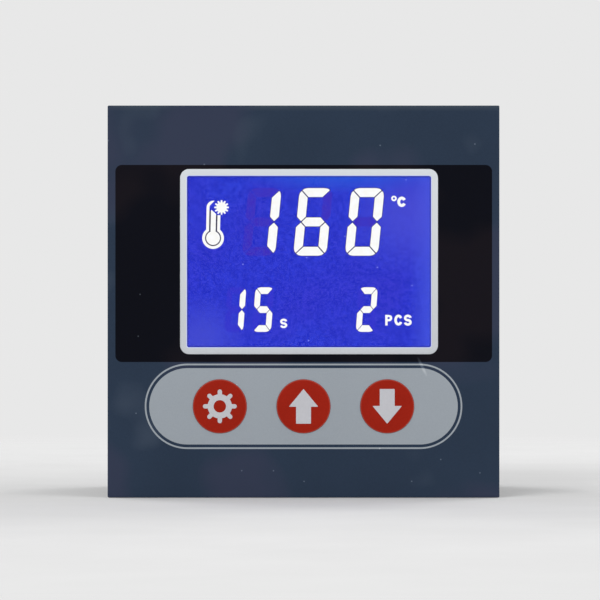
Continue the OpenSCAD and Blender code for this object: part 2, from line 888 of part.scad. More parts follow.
module terminal_strip_lower() {
    color("#1b1d20") mirror([0, 0, 1]) terminal_strip();
}

// A square tab with a screw hole, lying on the deck or on the plate
module screw_tab(w, h, y0) {
    difference() {
        block(-w / 2, w / 2, y0, y0 + terminal_t, -h / 2, h / 2);
        rod(y0 - 1, y0 + terminal_t + 1, terminal_screw_r + run_gap);
    }
}

module terminal_plates() {
    color(brass) above_and_below() at_terminals()
        screw_tab(terminal_clear - 2 * fit_gap, strip_h - barrier - 2 * pass_gap, deck_y);
}

module terminal_washers() {
    color(steel) above_and_below() at_terminals() screw_tab(washer_w, washer_w, plate_back);
}

module terminal_screws() {
    head_back = washer_back + terminal_head_h;
    color(steel) above_and_below() at_terminals() difference() {
        union() {
            rod(deck_y - terminal_shank, washer_back, terminal_screw_r);
            rod(washer_back, head_back, terminal_head_r);
        }
        block(-terminal_head_r - 1, terminal_head_r + 1, head_back - terminal_head_h / 2, head_back + 1,
            -drive_slot / 2, drive_slot / 2);
        block(-drive_slot / 2, drive_slot / 2, head_back - terminal_head_h / 2, head_back + 1,
            -terminal_head_r * 0.6, terminal_head_r * 0.6);
    }
}

// Clamps

// A saddle on the case with two hooks that catch under the wall behind their slots
module clamp_bracket() {
    hook_top = case_in - fit_gap;
    half = bracket_w / 2;
    difference() {
        union() {
            slab(bracket_y, bracket_y + bracket_l) polygon([
                [-half, bracket_base], [half, bracket_base], [half, bracket_shoulder],
                [bracket_crown, bracket_top], [-bracket_crown, bracket_top],
                [-half, bracket_shoulder]]);
            for (x = [-1, 1]) translate([x * bracket_leg_x, 0, 0]) {
                block(-bracket_leg_w / 2, bracket_leg_w / 2, bracket_y, bracket_y + bracket_leg,
                    hook_top - bracket_hook, bracket_base);
                block(-bracket_leg_w / 2, bracket_leg_w / 2, bracket_y,
                    bracket_y + bracket_leg + bracket_toe, hook_top - bracket_hook, hook_top);
            }
        }
        rod(bracket_y - 1, bracket_y + bracket_l + 1, jack_r + run_gap, 0, jack_z);
    }
}

// A pad on the jack screw's tip, wide where it presses on the panel
module clamp_foot() {
    pad = foot_l / 3;
    color("#e4e2da") difference() {
        union() {
            rod(foot_y, foot_y + pad, foot_r, 0, jack_z);
            rod(foot_y + pad, foot_back, foot_r - 0.4, 0, jack_z);
        }
        rod(tip_front - fit_gap, foot_back + 1, tip_r + run_gap, 0, jack_z);
    }
}

module clamp_screw() {
    head_back = jack_back + jack_head_h;
    color(steel) difference() {
        union() {
            rod(tip_front, jack_front, tip_r, 0, jack_z);
            rod(jack_front, jack_back, jack_r, 0, jack_z);
            rod(jack_back, head_back, jack_head_r, 0, jack_z);
        }
        block(-jack_head_r - 1, jack_head_r + 1, head_back - jack_head_h / 2, head_back + 1,
            jack_z - drive_slot / 2, jack_z + drive_slot / 2);
    }
}

bezel();
graphic_overlay();
display_frame();
display_window();
panel_gasket();
case();
lcd_glass();
lcd_holder();
light_guide();
backlight_lamps();
contact_strips();
display_board();
board_screws();
switch_bodies();
microcontroller();
key_cap(key_xs[0]);  // key_set
key_cap(key_xs[1]);  // key_up
key_cap(key_xs[2]);  // key_down
plunger(key_xs[0]);  // plunger_set
plunger(key_xs[1]);  // plunger_up
plunger(key_xs[2]);  // plunger_down
dome(key_xs[0]);  // dome_set
dome(key_xs[1]);  // dome_up
dome(key_xs[2]);  // dome_down
power_board();
control_board();
board_links();
transformer();
relay();
suppression_capacitor();
varistor();
fuse();
fuse_clips();
smoothing_capacitors();
voltage_regulator();
heat_sink();
sensor_amplifier();
buzzer();
terminal_strip_upper();
terminal_strip_lower();
terminal_plates();
terminal_washers();
terminal_screws();
color(steel) clamp_bracket();  // clamp_bracket_upper
color(steel) mirror([0, 0, 1]) clamp_bracket();  // clamp_bracket_lower
clamp_foot();  // clamp_foot_upper
mirror([0, 0, 1]) clamp_foot();  // clamp_foot_lower
clamp_screw();  // clamp_screw_upper
mirror([0, 0, 1]) clamp_screw();  // clamp_screw_lower
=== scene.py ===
import math

import bmesh
import bpy
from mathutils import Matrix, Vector
from mathutils.geometry import delaunay_2d_cdt


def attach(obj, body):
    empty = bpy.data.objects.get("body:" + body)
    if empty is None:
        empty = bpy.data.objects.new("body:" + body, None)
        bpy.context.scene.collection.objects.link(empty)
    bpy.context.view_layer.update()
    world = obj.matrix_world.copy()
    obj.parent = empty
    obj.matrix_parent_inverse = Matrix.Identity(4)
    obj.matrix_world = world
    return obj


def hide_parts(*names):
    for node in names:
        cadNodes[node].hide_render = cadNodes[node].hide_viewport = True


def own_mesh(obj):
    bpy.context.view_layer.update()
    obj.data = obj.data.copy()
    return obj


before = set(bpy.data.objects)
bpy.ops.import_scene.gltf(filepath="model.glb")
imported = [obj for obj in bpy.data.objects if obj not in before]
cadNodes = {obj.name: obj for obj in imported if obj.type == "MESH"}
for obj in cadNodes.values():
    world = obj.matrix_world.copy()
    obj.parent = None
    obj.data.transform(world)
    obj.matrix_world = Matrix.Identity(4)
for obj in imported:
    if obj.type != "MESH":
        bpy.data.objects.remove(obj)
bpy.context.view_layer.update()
scene = bpy.context.scene
mm = 0.001
print("frame loaded:", len(cadNodes), "nodes")


# colour helpers: colours are written as screen bytes
def ink(red, green, blue):
    parts = []
    for byte in (red, green, blue):
        part = byte / 255
        parts.append(part / 12.92 if part <= 0.04045 else ((part + 0.055) / 1.055) ** 2.4)
    return (*parts, 1.0)


def shade(colour, factor):
    return (*[min(1.0, part * factor) for part in colour[:3]], 1.0)


# makes an object of a mesh, curve, lamp or camera
def addObject(name, data):
    thing = bpy.data.objects.new(name, data)
    scene.collection.objects.link(thing)
    return thing


def meshFrom(bm, name):
    mesh = bpy.data.meshes.new(name)
    bm.to_mesh(mesh)
    bm.free()
    return mesh


# an object's mesh with its modifiers applied
def finalMesh(thing):
    graph = bpy.context.evaluated_depsgraph_get()
    return bpy.data.meshes.new_from_object(thing.evaluated_get(graph))


# node helpers: an input, by name or number, is set to a value or linked to another node's output
def fillInputs(tree, node, inputs):
    for name, value in inputs.items():
        if isinstance(value, bpy.types.NodeSocket):
            tree.links.new(value, node.inputs[name])
        else:
            node.inputs[name].default_value = value


def addNode(tree, kind, inputs, **settings):
    node = tree.nodes.new(kind)
    for name, value in settings.items():
        setattr(node, name, value)
    fillInputs(tree, node, inputs)
    return node.outputs


def objectSpot(tree, stretch=(1, 1, 1), turn=None):
    spot = addNode(tree, "ShaderNodeTexCoord", {})["Object"]
    if turn:
        spot = addNode(tree, "ShaderNodeMapping", {"Vector": spot, "Rotation": turn})["Vector"]
    return addNode(tree, "ShaderNodeMapping", {"Vector": spot, "Scale": stretch})["Vector"]


def acrossAndUp(tree):
    parts = addNode(tree, "ShaderNodeSeparateXYZ", {"Vector": objectSpot(tree)})
    return parts["X"], parts["Z"]


def distanceFrom(tree, place, stretch=(1, 1, 1)):
    ends = {0: objectSpot(tree, stretch), 1: place}
    return addNode(tree, "ShaderNodeVectorMath", ends, operation="DISTANCE")["Value"]


def noiseAt(tree, scale, detail=2.0, stretch=(1, 1, 1)):
    inputs = {"Vector": objectSpot(tree, stretch), "Scale": scale, "Detail": detail}
    return addNode(tree, "ShaderNodeTexNoise", inputs)["Fac"]


# a sum in nodes, in a material or in geometry
def mathOf(tree, operation, *values):
    return addNode(tree, "ShaderNodeMath", dict(enumerate(values)), operation=operation)[0]


def rampFrom(tree, factor, stops):
    node = tree.nodes.new("ShaderNodeValToRGB")
    while len(node.color_ramp.elements) < len(stops):
        node.color_ramp.elements.new(0.5)
    for element, (place, colour) in zip(node.color_ramp.elements, stops):
        element.position = place
        element.color = colour
    tree.links.new(factor, node.inputs["Fac"])
    return node.outputs["Color"]


def rangeFrom(tree, value, fromLow, fromHigh, toLow, toHigh):
    inputs = {"Value": value, "From Min": fromLow, "From Max": fromHigh, "To Min": toLow, "To Max": toHigh}
    return addNode(tree, "ShaderNodeMapRange", inputs)["Result"]


def mixColour(tree, factor, under, over):
    return addNode(tree, "ShaderNodeMix", {0: factor, 6: under, 7: over}, data_type="RGBA")[2]


# another colour showing in patches
def patched(tree, tone, part):
    noise = noiseAt(tree, part["scale"])
    share = rangeFrom(tree, noise, part["from"], part["to"], 0.0, part["strength"])
    return mixColour(tree, share, tone, ink(*part["colour"]))


dust = {"scale": 120, "stretch": (1, 1, 1), "slant": 0.0, "core": 0.4, "reach": 0.026, "share": 0.26,
        "strength": 0.62}
scuffs = {"scale": 110, "stretch": (1, 0.16, 1), "slant": 0.45, "core": 0.4, "reach": 0.05, "share": 0.16,
          "strength": 0.34}


# pale marks, each in the middle of some cells of a flat cell pattern laid on the face
def marked(tree, tone, colour, kind):
    spot = objectSpot(tree, kind["stretch"], (math.pi / 2, 0, kind["slant"]))
    inputs = {"Vector": spot, "Scale": kind["scale"]}
    cells = addNode(tree, "ShaderNodeTexVoronoi", inputs, voronoi_dimensions="2D")
    chance = addNode(tree, "ShaderNodeSeparateColor", {"Color": cells["Color"]})[0]
    reach = kind["reach"]
    near = rangeFrom(tree, cells["Distance"], reach * kind["core"], reach, kind["strength"], 0.0)
    some = mathOf(tree, "LESS_THAN", chance, kind["share"])
    return mixColour(tree, mathOf(tree, "MULTIPLY", near, some), tone, ink(*colour))


finishes = {}


def startFinish(name, metal=0.0, specular=0.5, rough=0.5):
    finishes[name] = bpy.data.materials.new(name)
    finishes[name].use_nodes = True
    tree = finishes[name].node_tree
    shader = tree.nodes["Principled BSDF"]
    fillInputs(tree, shader, {"Metallic": metal, "Specular IOR Level": specular, "Roughness": rough})
    return tree, shader


plain = {"metal": 0.0, "specular": 0.5, "cloud": 60, "stretch": (1, 1, 1), "vary": 0.06, "bump": 0.2,
         "relief": 0.02, "smears": []}
noiseRange = (0.35, 0.65)  # most of a noise lies between these
fineDetail = 4.0


# one surface with slow clouding, fine grain, uneven gloss and a little relief
def surface(name, colour, grain, rough, kind=plain, **own):
    look = {**plain, **kind, **own}
    tree, shader = startFinish(name, look["metal"], look["specular"])
    slow = noiseAt(tree, look["cloud"])
    fine = noiseAt(tree, grain, fineDetail, look["stretch"])
    both = mathOf(tree, "MULTIPLY_ADD", fine, 0.5, mathOf(tree, "MULTIPLY", slow, 0.5))
    base, vary = ink(*colour), look["vary"]
    least, most = noiseRange
    stops = [(least, shade(base, 1 - vary)), (0.5, base), (most, shade(base, 1 + vary))]
    tone = rampFrom(tree, both, stops)
    # painted light: a lighter tone towards the top, standing in for light falling from above
    if "topEdge" in look:  # another tone towards the top
        low, high, topLightColour = look["topEdge"]
        share = rangeFrom(tree, acrossAndUp(tree)[1], low * mm, high * mm, 0.0, 1.0)
        tone = mixColour(tree, share, tone, ink(*topLightColour))
    for part in look["smears"]:
        tone = patched(tree, tone, part)
    if "specks" in look:
        for mark in (scuffs, dust):
            tone = marked(tree, tone, look["specks"], mark)
    gloss = rangeFrom(tree, both, least, most, *rough)
    bump = {"Height": fine, "Strength": look["bump"], "Distance": look["relief"] * mm}
    normal = addNode(tree, "ShaderNodeBump", bump)["Normal"]
    fillInputs(tree, shader, {"Base Color": tone, "Roughness": gloss, "Normal": normal})


fineSteps, cornerSteps = 96, 10


# outlines: lists of x, z points in millimetres
def arc(x, z, radius, start, end, steps):
    turns = [math.radians(start + (end - start) * i / steps) for i in range(steps + 1)]
    return [(x + radius * math.cos(t), z + radius * math.sin(t)) for t in turns]


def circle(x, z, radius, steps=fineSteps):
    return arc(x, z, radius, 0, 360, steps)[:-1]


def roundRect(x, z, width, height, radius, steps=cornerSteps):
    dx, dz = width / 2 - radius, height / 2 - radius
    loop = []
    for sx, sz, start in ((1, 1, 0), (-1, 1, 90), (-1, -1, 180), (1, -1, 270)):
        loop += arc(x + sx * dx, z + sz * dz, radius, start, start + 90, steps)
    return loop


# the rounded outline of a box, grown or shrunk all round
def boxLoop(box, grow=0.0, steps=cornerSteps, leastCorner=0.0):
    corner = max(box["corner"] + grow, leastCorner)
    return roundRect(box["x"], box["z"], box["width"] + 2 * grow, box["height"] + 2 * grow, corner, steps)


# moves every edge of a convex outline inwards
def insetOutline(loop, gap):
    count = len(loop)
    area = sum(loop[i - 1][0] * loop[i][1] - loop[i][0] * loop[i - 1][1] for i in range(count))
    side = 1 if area > 0 else -1
    lines = []
    for i in range(count):
        a, b = Vector(loop[i]), Vector(loop[(i + 1) % count])
        step = (b - a).normalized()
        lines.append((a + Vector((-step.y, step.x)) * side * gap, step))
    out = []
    for i in range(count):
        (p, d), (q, e) = lines[i - 1], lines[i]
        t = ((q.x - p.x) * e.y - (q.y - p.y) * e.x) / (d.x * e.y - d.y * e.x)
        out.append(tuple(p + d * t))
    return out


mostOfSide = 0.45  # how much of a side a rounded corner may take


def softenOutline(loop, radius, steps):
    out = []
    for i, corner in enumerate(loop):
        c = Vector(corner)
        back, ahead = Vector(loop[i - 1]) - c, Vector(loop[(i + 1) % len(loop)]) - c
        half = back.angle(ahead) / 2
        reach = min(radius / math.tan(half), mostOfSide * back.length, mostOfSide * ahead.length)
        a, b = c + back.normalized() * reach, c + ahead.normalized() * reach
        for k in range(steps + 1):
            t = k / steps
            out.append(tuple(a * (1 - t) ** 2 + c * 2 * t * (1 - t) + b * t ** 2))
    return out


def inside(x, z, loop):
    odd = False
    px, pz = loop[-1]
    for qx, qz in loop:
        if (qz > z) != (pz > z) and x < (px - qx) * (z - qz) / (pz - qz) + qx:
            odd = not odd
        px, pz = qx, qz
    return odd


plateLimits = {"merge": 1e-5, "probe": 0.002, "leastSpread": 0.3}


# adds a flat plate: the first fill is its footprint, later fills are printed on it, cuts are holes
def addPlate(bm, fills, cuts, yFront, yBack, bevel=0.0, paint=0, roundCuts=True):
    points, edges = [], []
    for loop in [loop for fill in fills for loop in fill] + cuts:
        first = len(points)
        points += [Vector(p) for p in loop]
        edges += [(first + i, first + (i + 1) % len(loop)) for i in range(len(loop))]
    flat, _, tris, _, _, _ = delaunay_2d_cdt(points, edges, [], 0, plateLimits["merge"])
    kept = []
    for tri in tris:
        x, z = sum((flat[i] for i in tri), Vector((0, 0))) / 3
        if any(inside(x, z, cut) for cut in cuts):
            continue
        layers = [n for n, fill in enumerate(fills) if sum(inside(x, z, loop) for loop in fill) % 2]
        if layers and layers[0] == 0:
            kept.append((tri, layers[-1]))
    sides = {(tri[i], tri[(i + 1) % 3]) for tri, _ in kept for i in range(3)}
    rim = sorted((a, b) for a, b in sides if (b, a) not in sides)
    outs = {}
    for a, b in rim:
        step = (flat[b] - flat[a]).normalized()
        out = Vector((step.y, -step.x))
        beyond = (flat[a] + flat[b]) / 2 + out * plateLimits["probe"]
        if not roundCuts and any(inside(*beyond, cut) for cut in cuts):
            out = Vector((0, 0))
        for i in (a, b):
            outs.setdefault(i, []).append(out)
    push = {}
    for i, ways in outs.items():
        spread = max(plateLimits["leastSpread"], 1 + ways[0].dot(ways[-1]))
        push[i] = sum(ways, Vector((0, 0))) / spread * bevel
    side = 1 if yBack > yFront else -1

    def corner(i, y, grow):
        spot = flat[i] + push.get(i, Vector((0, 0))) * grow
        return bm.verts.new(Vector((spot.x, y, spot.y)) * mm)

    used = sorted({i for tri, _ in kept for i in tri})
    front = {i: corner(i, yFront, 0) for i in used}
    back = {i: corner(i, yBack, 1) for i in used}
    middle = {i: corner(i, yFront + side * bevel, 1) for i in outs} if bevel else front
    for tri, layer in kept:
        bm.faces.new([front[i] for i in tri]).material_index = paint + layer
        bm.faces.new([back[i] for i in reversed(tri)]).material_index = paint
    for a, b in rim:
        bm.faces.new((middle[a], back[a], back[b], middle[b])).material_index = paint
        if bevel:
            bm.faces.new((front[a], middle[a], middle[b], front[b])).material_index = paint


# adds a shape turned about an axis along y, from radius and y pairs that start and end on the axis
def addTurned(bm, profile, x, z, steps=fineSteps, paints=None):
    rings = []
    for radius, y in profile:
        if radius == 0:
            rings.append([bm.verts.new(Vector((x, y, z)) * mm)])
            continue
        spots = [Vector((x + px, y, z + pz)) for px, pz in circle(0, 0, radius, steps)]
        rings.append([bm.verts.new(spot * mm) for spot in spots])
    for n, (low, high) in enumerate(zip(rings, rings[1:])):
        for i in range(steps):
            j = (i + 1) % steps
            around = [low[i % len(low)], low[j % len(low)], high[j % len(high)], high[i % len(high)]]
            face = bm.faces.new(list(dict.fromkeys(around)))
            face.material_index = paints[n] if paints else 0


# adds a tube between loops of equal length, closed on itself
def addRing(bm, loops, paints):
    rings = [[bm.verts.new(Vector(p) * mm) for p in loop] for loop in loops]
    for low, high, paint in zip(rings, rings[1:] + rings[:1], paints):
        for i in range(len(low)):
            j = (i + 1) % len(low)
            bm.faces.new((low[i], low[j], high[j], high[i])).material_index = paint


# adds lettering in the built-in font, fitted to a box
def addWords(bm, words, x, z, width, height, yFront, yBack, bold=0.0):
    curve = bpy.data.curves.new("words", "FONT")
    curve.body = words
    curve.offset = bold
    curve.resolution_u = 5
    curve.extrude = 0.5
    holder = addObject("words", curve)
    mesh = finalMesh(holder)
    spots = [v.co.copy() for v in mesh.vertices]
    lowX, highX = min(s.x for s in spots), max(s.x for s in spots)
    lowY, highY = min(s.y for s in spots), max(s.y for s in spots)
    scaleX = width / (highX - lowX) if width else height / (highY - lowY)
    scaleZ = height / (highY - lowY)
    for vert, s in zip(mesh.vertices, spots):
        vert.co = Vector((x + (s.x - (lowX + highX) / 2) * scaleX, yFront if s.z > 0 else yBack,
                          z + (s.y - (lowY + highY) / 2) * scaleZ)) * mm
    bm.from_mesh(mesh)
    bpy.data.objects.remove(holder)
    bpy.data.curves.remove(curve)
    bpy.data.meshes.remove(mesh)


weld, cadWeld = 1e-7, 2e-6  # points nearer than this are joined


def finishPiece(bm, name, finishNames, body, replaced=(), sharp=30, recalc=True, even=False):
    if recalc:
        bmesh.ops.remove_doubles(bm, verts=bm.verts, dist=weld)
        bmesh.ops.recalc_face_normals(bm, faces=bm.faces)
    mesh = meshFrom(bm, name)
    for finishName in finishNames:
        mesh.materials.append(finishes[finishName])
    mesh.shade_smooth()
    mesh.set_sharp_from_angle(angle=math.radians(sharp))
    piece = addObject(name, mesh)
    if even:  # flat faces keep flat shading beside their rounded edges
        evener = piece.modifiers.new("evenShade", "WEIGHTED_NORMAL")
        evener.weight = 100
        evener.keep_sharp = True
        piece.data = finalMesh(piece)
        piece.modifiers.remove(evener)
    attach(piece, body)
    if replaced:
        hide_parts(*replaced)
    return piece


# a merged copy of a CAD node, all in its first finish
def meshOf(node):
    bm = bmesh.new()
    bm.from_mesh(cadNodes[node].data)
    bmesh.ops.remove_doubles(bm, verts=bm.verts, dist=cadWeld)
    for face in bm.faces:
        face.material_index = 0
    return bm


softening = {"flat": math.radians(1), "corner": math.radians(40), "sharp": 50, "segments": 2}


# a copy of a CAD node with its outer edges rounded and worn
def softCopy(node, name, finishNames, body, slotName, width):
    bm = meshOf(node)
    bmesh.ops.dissolve_limit(bm, angle_limit=softening["flat"], verts=bm.verts, edges=bm.edges)
    edges = [e for e in bm.edges if e.is_manifold and e.calc_face_angle_signed() > softening["corner"]]
    rounded = bmesh.ops.bevel(bm, geom=edges, offset=width * mm, offset_type="OFFSET", profile=0.5,
                              segments=softening["segments"], affect="EDGES", clamp_overlap=True, material=1)
    print(name, "rounded faces:", len(rounded["faces"]))
    finishPiece(bm, name, finishNames, body, [node], softening["sharp"], recalc=False, even=True)


# finishes for the face: colour, grain, least and most rough, and what differs from plain
film = {"cloud": 38, "specular": 0.07, "vary": 0.09, "bump": 0.12, "relief": 0.01}
pale = {"cloud": 55, "specular": 0.25, "bump": 0.15, "relief": 0.01}
slateSmears = [{"scale": 34, "from": 0.5, "to": 0.6, "strength": 1.0, "colour": (50, 57, 77)},
               {"scale": 47, "from": 0.6, "to": 0.75, "strength": 0.8, "colour": (64, 75, 91)}]
blackSmears = [{"scale": 34, "from": 0.5, "to": 0.6, "strength": 1.0, "colour": (22, 19, 25)}]
# painted highlight: the slate film is lighter along its top edge, where light falls from above
surface("slatePrint", (41, 54, 72), 2600, (0.4, 0.5), film, specks=(120, 132, 148), smears=slateSmears,
        topEdge=(46.6, 48.2, (62, 72, 84)))
surface("blackPrint", (12, 13, 21), 2600, (0.4, 0.5), film, specks=(84, 90, 98), smears=blackSmears,
        specular=0.03)
surface("greyPrint", (153, 160, 167), 2600, (0.4, 0.5), film, specks=(218, 222, 226), vary=0.03)
surface("keyRed", (152, 32, 17), 2200, (0.38, 0.5), cloud=150, specular=0.05, relief=0.012)
# painted highlight: a lighter red for the keys' rounded rims
surface("keyRimHighlight", (172, 66, 54), 2200, (0.4, 0.5), cloud=150, specular=0.1)
surface("keySign", (192, 192, 197), 2600, (0.4, 0.5), cloud=150, specular=0.2, vary=0.03)
# painted light: the frame is darker at the bottom and lighter towards the top, as light falls from above
surface("framePaint", (196, 200, 205), 3000, (0.35, 0.5), pale, vary=0.04,
        topEdge=(-12.0, 31.0, (212, 217, 222)))
surface("frameLit", (214, 222, 255), 3000, (0.35, 0.5), pale, vary=0.03)

clear = {"ior": 1.15, "smearScale": 90, "smearDetail": 3.0, "smearStretch": (1, 1, 3), "smearFrom": 0.35,
         "smearTo": 0.7, "smearRough": 0.04}


def clearFinish(name):
    tree, shader = startFinish(name)
    smears = noiseAt(tree, clear["smearScale"], clear["smearDetail"], clear["smearStretch"])
    rough = rangeFrom(tree, smears, clear["smearFrom"], clear["smearTo"], 0.0, clear["smearRough"])
    fillInputs(tree, shader, {"Base Color": (1, 1, 1, 1), "Transmission Weight": 1.0, "IOR": clear["ior"],
                              "Roughness": rough})


def startGlow(name):
    tree, shader = startFinish(name, specular=0.0, rough=0.6)
    fillInputs(tree, shader, {"Base Color": (0, 0, 0, 1), "Emission Strength": 1.0})
    return tree, shader


# the lit field: blue from its lamps, with paler places, fine grain and a painted shade line round its
# border, for the frame's shadow on the glass
litBlue = {
    "low": -11.25, "high": 30.75, "specks": (170, 182, 246),
    "stops": [(0.0, (46, 61, 213)), (0.25, (45, 57, 212)), (0.8, (46, 60, 213)), (1.0, (42, 63, 214))],
    "cloud": {"scale": 70, "from": 0.42, "to": 0.7, "strength": 0.45, "colour": (62, 52, 200)},
    "grain": {"scale": 1700, "from": 0.4, "to": 0.6, "strength": 0.86, "colour": (31, 41, 192)},
    "rightGlow": {"from": 26.0, "to": 31.3, "strength": 0.6, "colour": (74, 92, 226)},
    "patches": [
        {"x": -25, "z": -9, "wide": 1, "near": 2, "far": 11, "strength": 0.6, "colour": (72, 80, 210)},
        {"x": 25, "z": 21, "wide": 1, "near": 3, "far": 15, "strength": 0.5, "colour": (82, 84, 214)},
        {"x": 9, "z": 31.5, "wide": 5, "near": 0.5, "far": 5, "strength": 0.85, "colour": (38, 88, 220)},
    ],
    # painted shade: the frame's shadow as a dark line inside the border
    "border": {"left": -28.6, "right": 31.3, "bottom": -11.25, "top": 30.8, "line": 0.5, "strength": 0.8,
               "colour": (40, 46, 140)},
}


def litFinish(name):
    tree, shader = startGlow(name)
    x, z = acrossAndUp(tree)
    height = rangeFrom(tree, z, litBlue["low"] * mm, litBlue["high"] * mm, 0.0, 1.0)
    tone = rampFrom(tree, height, [(place, ink(*colour)) for place, colour in litBlue["stops"]])
    for part in (litBlue["cloud"], litBlue["grain"]):
        tone = patched(tree, tone, part)

    def blended(value, start, end, strengths, colour):
        share = rangeFrom(tree, value, start * mm, end * mm, *strengths)
        return mixColour(tree, share, tone, ink(*colour))

    glow = litBlue["rightGlow"]
    tone = blended(x, glow["from"], glow["to"], (0.0, glow["strength"]), glow["colour"])
    for patch in litBlue["patches"]:
        wide = patch["wide"]
        away = distanceFrom(tree, (patch["x"] / wide * mm, 0, patch["z"] * mm), (1 / wide, 0, 1))
        tone = blended(away, patch["near"], patch["far"], (patch["strength"], 0.0), patch["colour"])
    tone = marked(tree, tone, litBlue["specks"], dust)
    # painted shade: a dark line inside each side of the border, for the frame's shadow on the glass
    rim = litBlue["border"]
    for axis, name, way in ((x, "left", 1), (x, "right", -1), (z, "bottom", 1), (z, "top", -1)):
        inner = rim[name] + way * rim["line"]
        tone = blended(axis, rim[name], inner, (rim["strength"], 0.0), rim["colour"])
    tree.links.new(tone, shader.inputs["Emission Color"])


markGrain = 800
markTones = {"displayWhite": ((250, 250, 246), (253, 254, 255)),
             "displayGhost": ((53, 50, 197), (62, 44, 188)),
             "displayFaint": ((47, 51, 206), (51, 48, 202)),
             # painted shade round the lit figures and in their splits
             "displayGapShade": ((40, 36, 70), (56, 50, 84))}


def markFinish(name, tones):
    tree, shader = startGlow(name)
    stops = [(place, ink(*tone)) for place, tone in zip(noiseRange, tones)]
    tree.links.new(rampFrom(tree, noiseAt(tree, markGrain), stops), shader.inputs["Emission Color"])


clearFinish("clearWindow")
litFinish("litField")
for markName, tones in markTones.items():
    markFinish(markName, tones)
print("face finishes made")

# finishes for the body and what is in it
bareMetal = {"metal": 1.0, "vary": 0.1, "bump": 0.15, "relief": 0.01}
surface("mouldedBlack", (38, 40, 44), 1700, (0.5, 0.68), cloud=40, vary=0.16, bump=0.8, relief=0.09,
        specular=0.4)
surface("mouldedEdge", (56, 58, 62), 1900, (0.34, 0.5), cloud=70, vary=0.14, bump=0.25, specular=0.4)
surface("terminalBlack", (27, 29, 32), 2400, (0.4, 0.55), cloud=80, vary=0.1, bump=0.3, specular=0.4)
surface("gasketRubber", (24, 24, 26), 3200, (0.75, 0.9), cloud=90, vary=0.12, bump=0.5, relief=0.03,
        specular=0.25)
surface("zincSteel", (188, 190, 192), 1500, (0.26, 0.42), bareMetal, cloud=200)
surface("castZinc", (168, 170, 172), 1300, (0.42, 0.6), bareMetal, cloud=160, vary=0.12, bump=0.5,
        relief=0.03)
surface("castEdge", (206, 207, 208), 1300, (0.25, 0.4), bareMetal, cloud=160, bump=0.2, relief=0.015)
surface("brassPlate", (206, 170, 92), 1500, (0.25, 0.42), bareMetal, cloud=180, vary=0.12,
        stretch=(0.15, 1, 1))
surface("footNylon", (226, 223, 212), 1800, (0.4, 0.55), cloud=200, vary=0.04, relief=0.015)
surface("labelFoil", (196, 199, 202), 1400, (0.3, 0.45), metal=0.6, bump=0.1, relief=0.008,
        stretch=(1, 0.04, 1))
surface("labelInk", (60, 63, 68), 2400, (0.45, 0.6), specular=0.3)
surface("numeralPaint", (214, 215, 213), 2600, (0.5, 0.65), cloud=120)
surface("boardGreen", (34, 92, 56), 700, (0.3, 0.45), cloud=120, vary=0.22, bump=0.35, relief=0.03)
surface("chipBlack", (33, 34, 37), 2600, (0.45, 0.6), vary=0.1)
surface("coreGrey", (62, 67, 73), 900, (0.5, 0.7), vary=0.2, stretch=(1, 1, 12))
surface("relayBlue", (40, 86, 160), 1800, (0.3, 0.42), vary=0.05)
surface("filmYellow", (206, 172, 62), 1600, (0.35, 0.5))
surface("discBlue", (50, 108, 168), 1200, (0.3, 0.5), vary=0.1, bump=0.4)
surface("sleeveNavy", (32, 46, 86), 1600, (0.25, 0.4), vary=0.08)
surface("finSilver", (176, 179, 183), 1400, (0.35, 0.5), metal=1.0, vary=0.08, stretch=(1, 1, 0.06))
surface("guideWhite", (236, 238, 240), 1500, (0.3, 0.45), vary=0.02)
surface("holderWhite", (216, 218, 219), 1900, (0.45, 0.6), vary=0.04)
surface("lampCream", (238, 228, 186), 1500, (0.3, 0.45), vary=0.05)
surface("stripPink", (206, 120, 140), 1700, (0.6, 0.75), vary=0.25, stretch=(8, 0.2, 0.2))
surface("fuseGlass", (206, 220, 226), 900, (0.1, 0.2), vary=0.05)
surface("plungerWhite", (232, 232, 229), 1900, (0.4, 0.55), vary=0.03)
surface("springSteel", (178, 180, 184), 1300, (0.2, 0.32), metal=1.0)
innerNodes = {
    "clearWindow": ["display_window"], "holderWhite": ["lcd_holder"], "guideWhite": ["light_guide"],
    "lampCream": ["backlight_lamps"], "stripPink": ["contact_strips"], "zincSteel": ["board_screws"],
    "boardGreen": ["display_board", "power_board", "control_board"],
    "chipBlack": ["switch_bodies", "microcontroller", "board_links", "voltage_regulator", "sensor_amplifier",
                  "buzzer"],
    "plungerWhite": ["plunger_set", "plunger_up", "plunger_down"], "coreGrey": ["transformer"],
    "relayBlue": ["relay"], "filmYellow": ["suppression_capacitor"], "discBlue": ["varistor"],
    "fuseGlass": ["fuse"], "brassPlate": ["fuse_clips"], "sleeveNavy": ["smoothing_capacitors"],
    "finSilver": ["heat_sink"],
}
for finishName, nodeNames in innerNodes.items():
    for nodeName in nodeNames:
        for place in cadNodes[nodeName].material_slots:
            place.material = finishes[finishName]
print("inner pieces finished:", sum(len(nodeNames) for nodeNames in innerNodes.values()))

# the printed film over the face
face = {"x": 0.0, "z": 0.0, "width": 96.0, "height": 96.0, "corner": 0.3, "front": -8.0, "back": -7.2,
        "edge": 0.1, "slack": 0.04}
band = {"x": 0.05, "z": 9.3, "width": 92.3, "height": 48.3, "corner": 1.6}
keyRow = {"places": {"set": -20.5, "up": 0.0, "down": 20.5}, "z": -25.7, "radius": 6.6}
keyField = {"x": 0.0, "z": -25.7, "width": 75.6, "height": 18.7, "corner": 9.34, "line": 0.4, "lineGap": 0.7,
            "steps": 24}
shownFrame = {"x": 1.35, "z": 9.75, "width": 63.2, "height": 45.4, "corner": 2.2, "band": 1.7, "inner": 0.5,
              "proud": 0.1, "round": 0.16, "outerTurns": (0.5, 1.05, math.pi / 2),
              "innerTurns": (0.0, 0.52, 1.07, math.pi / 2)}


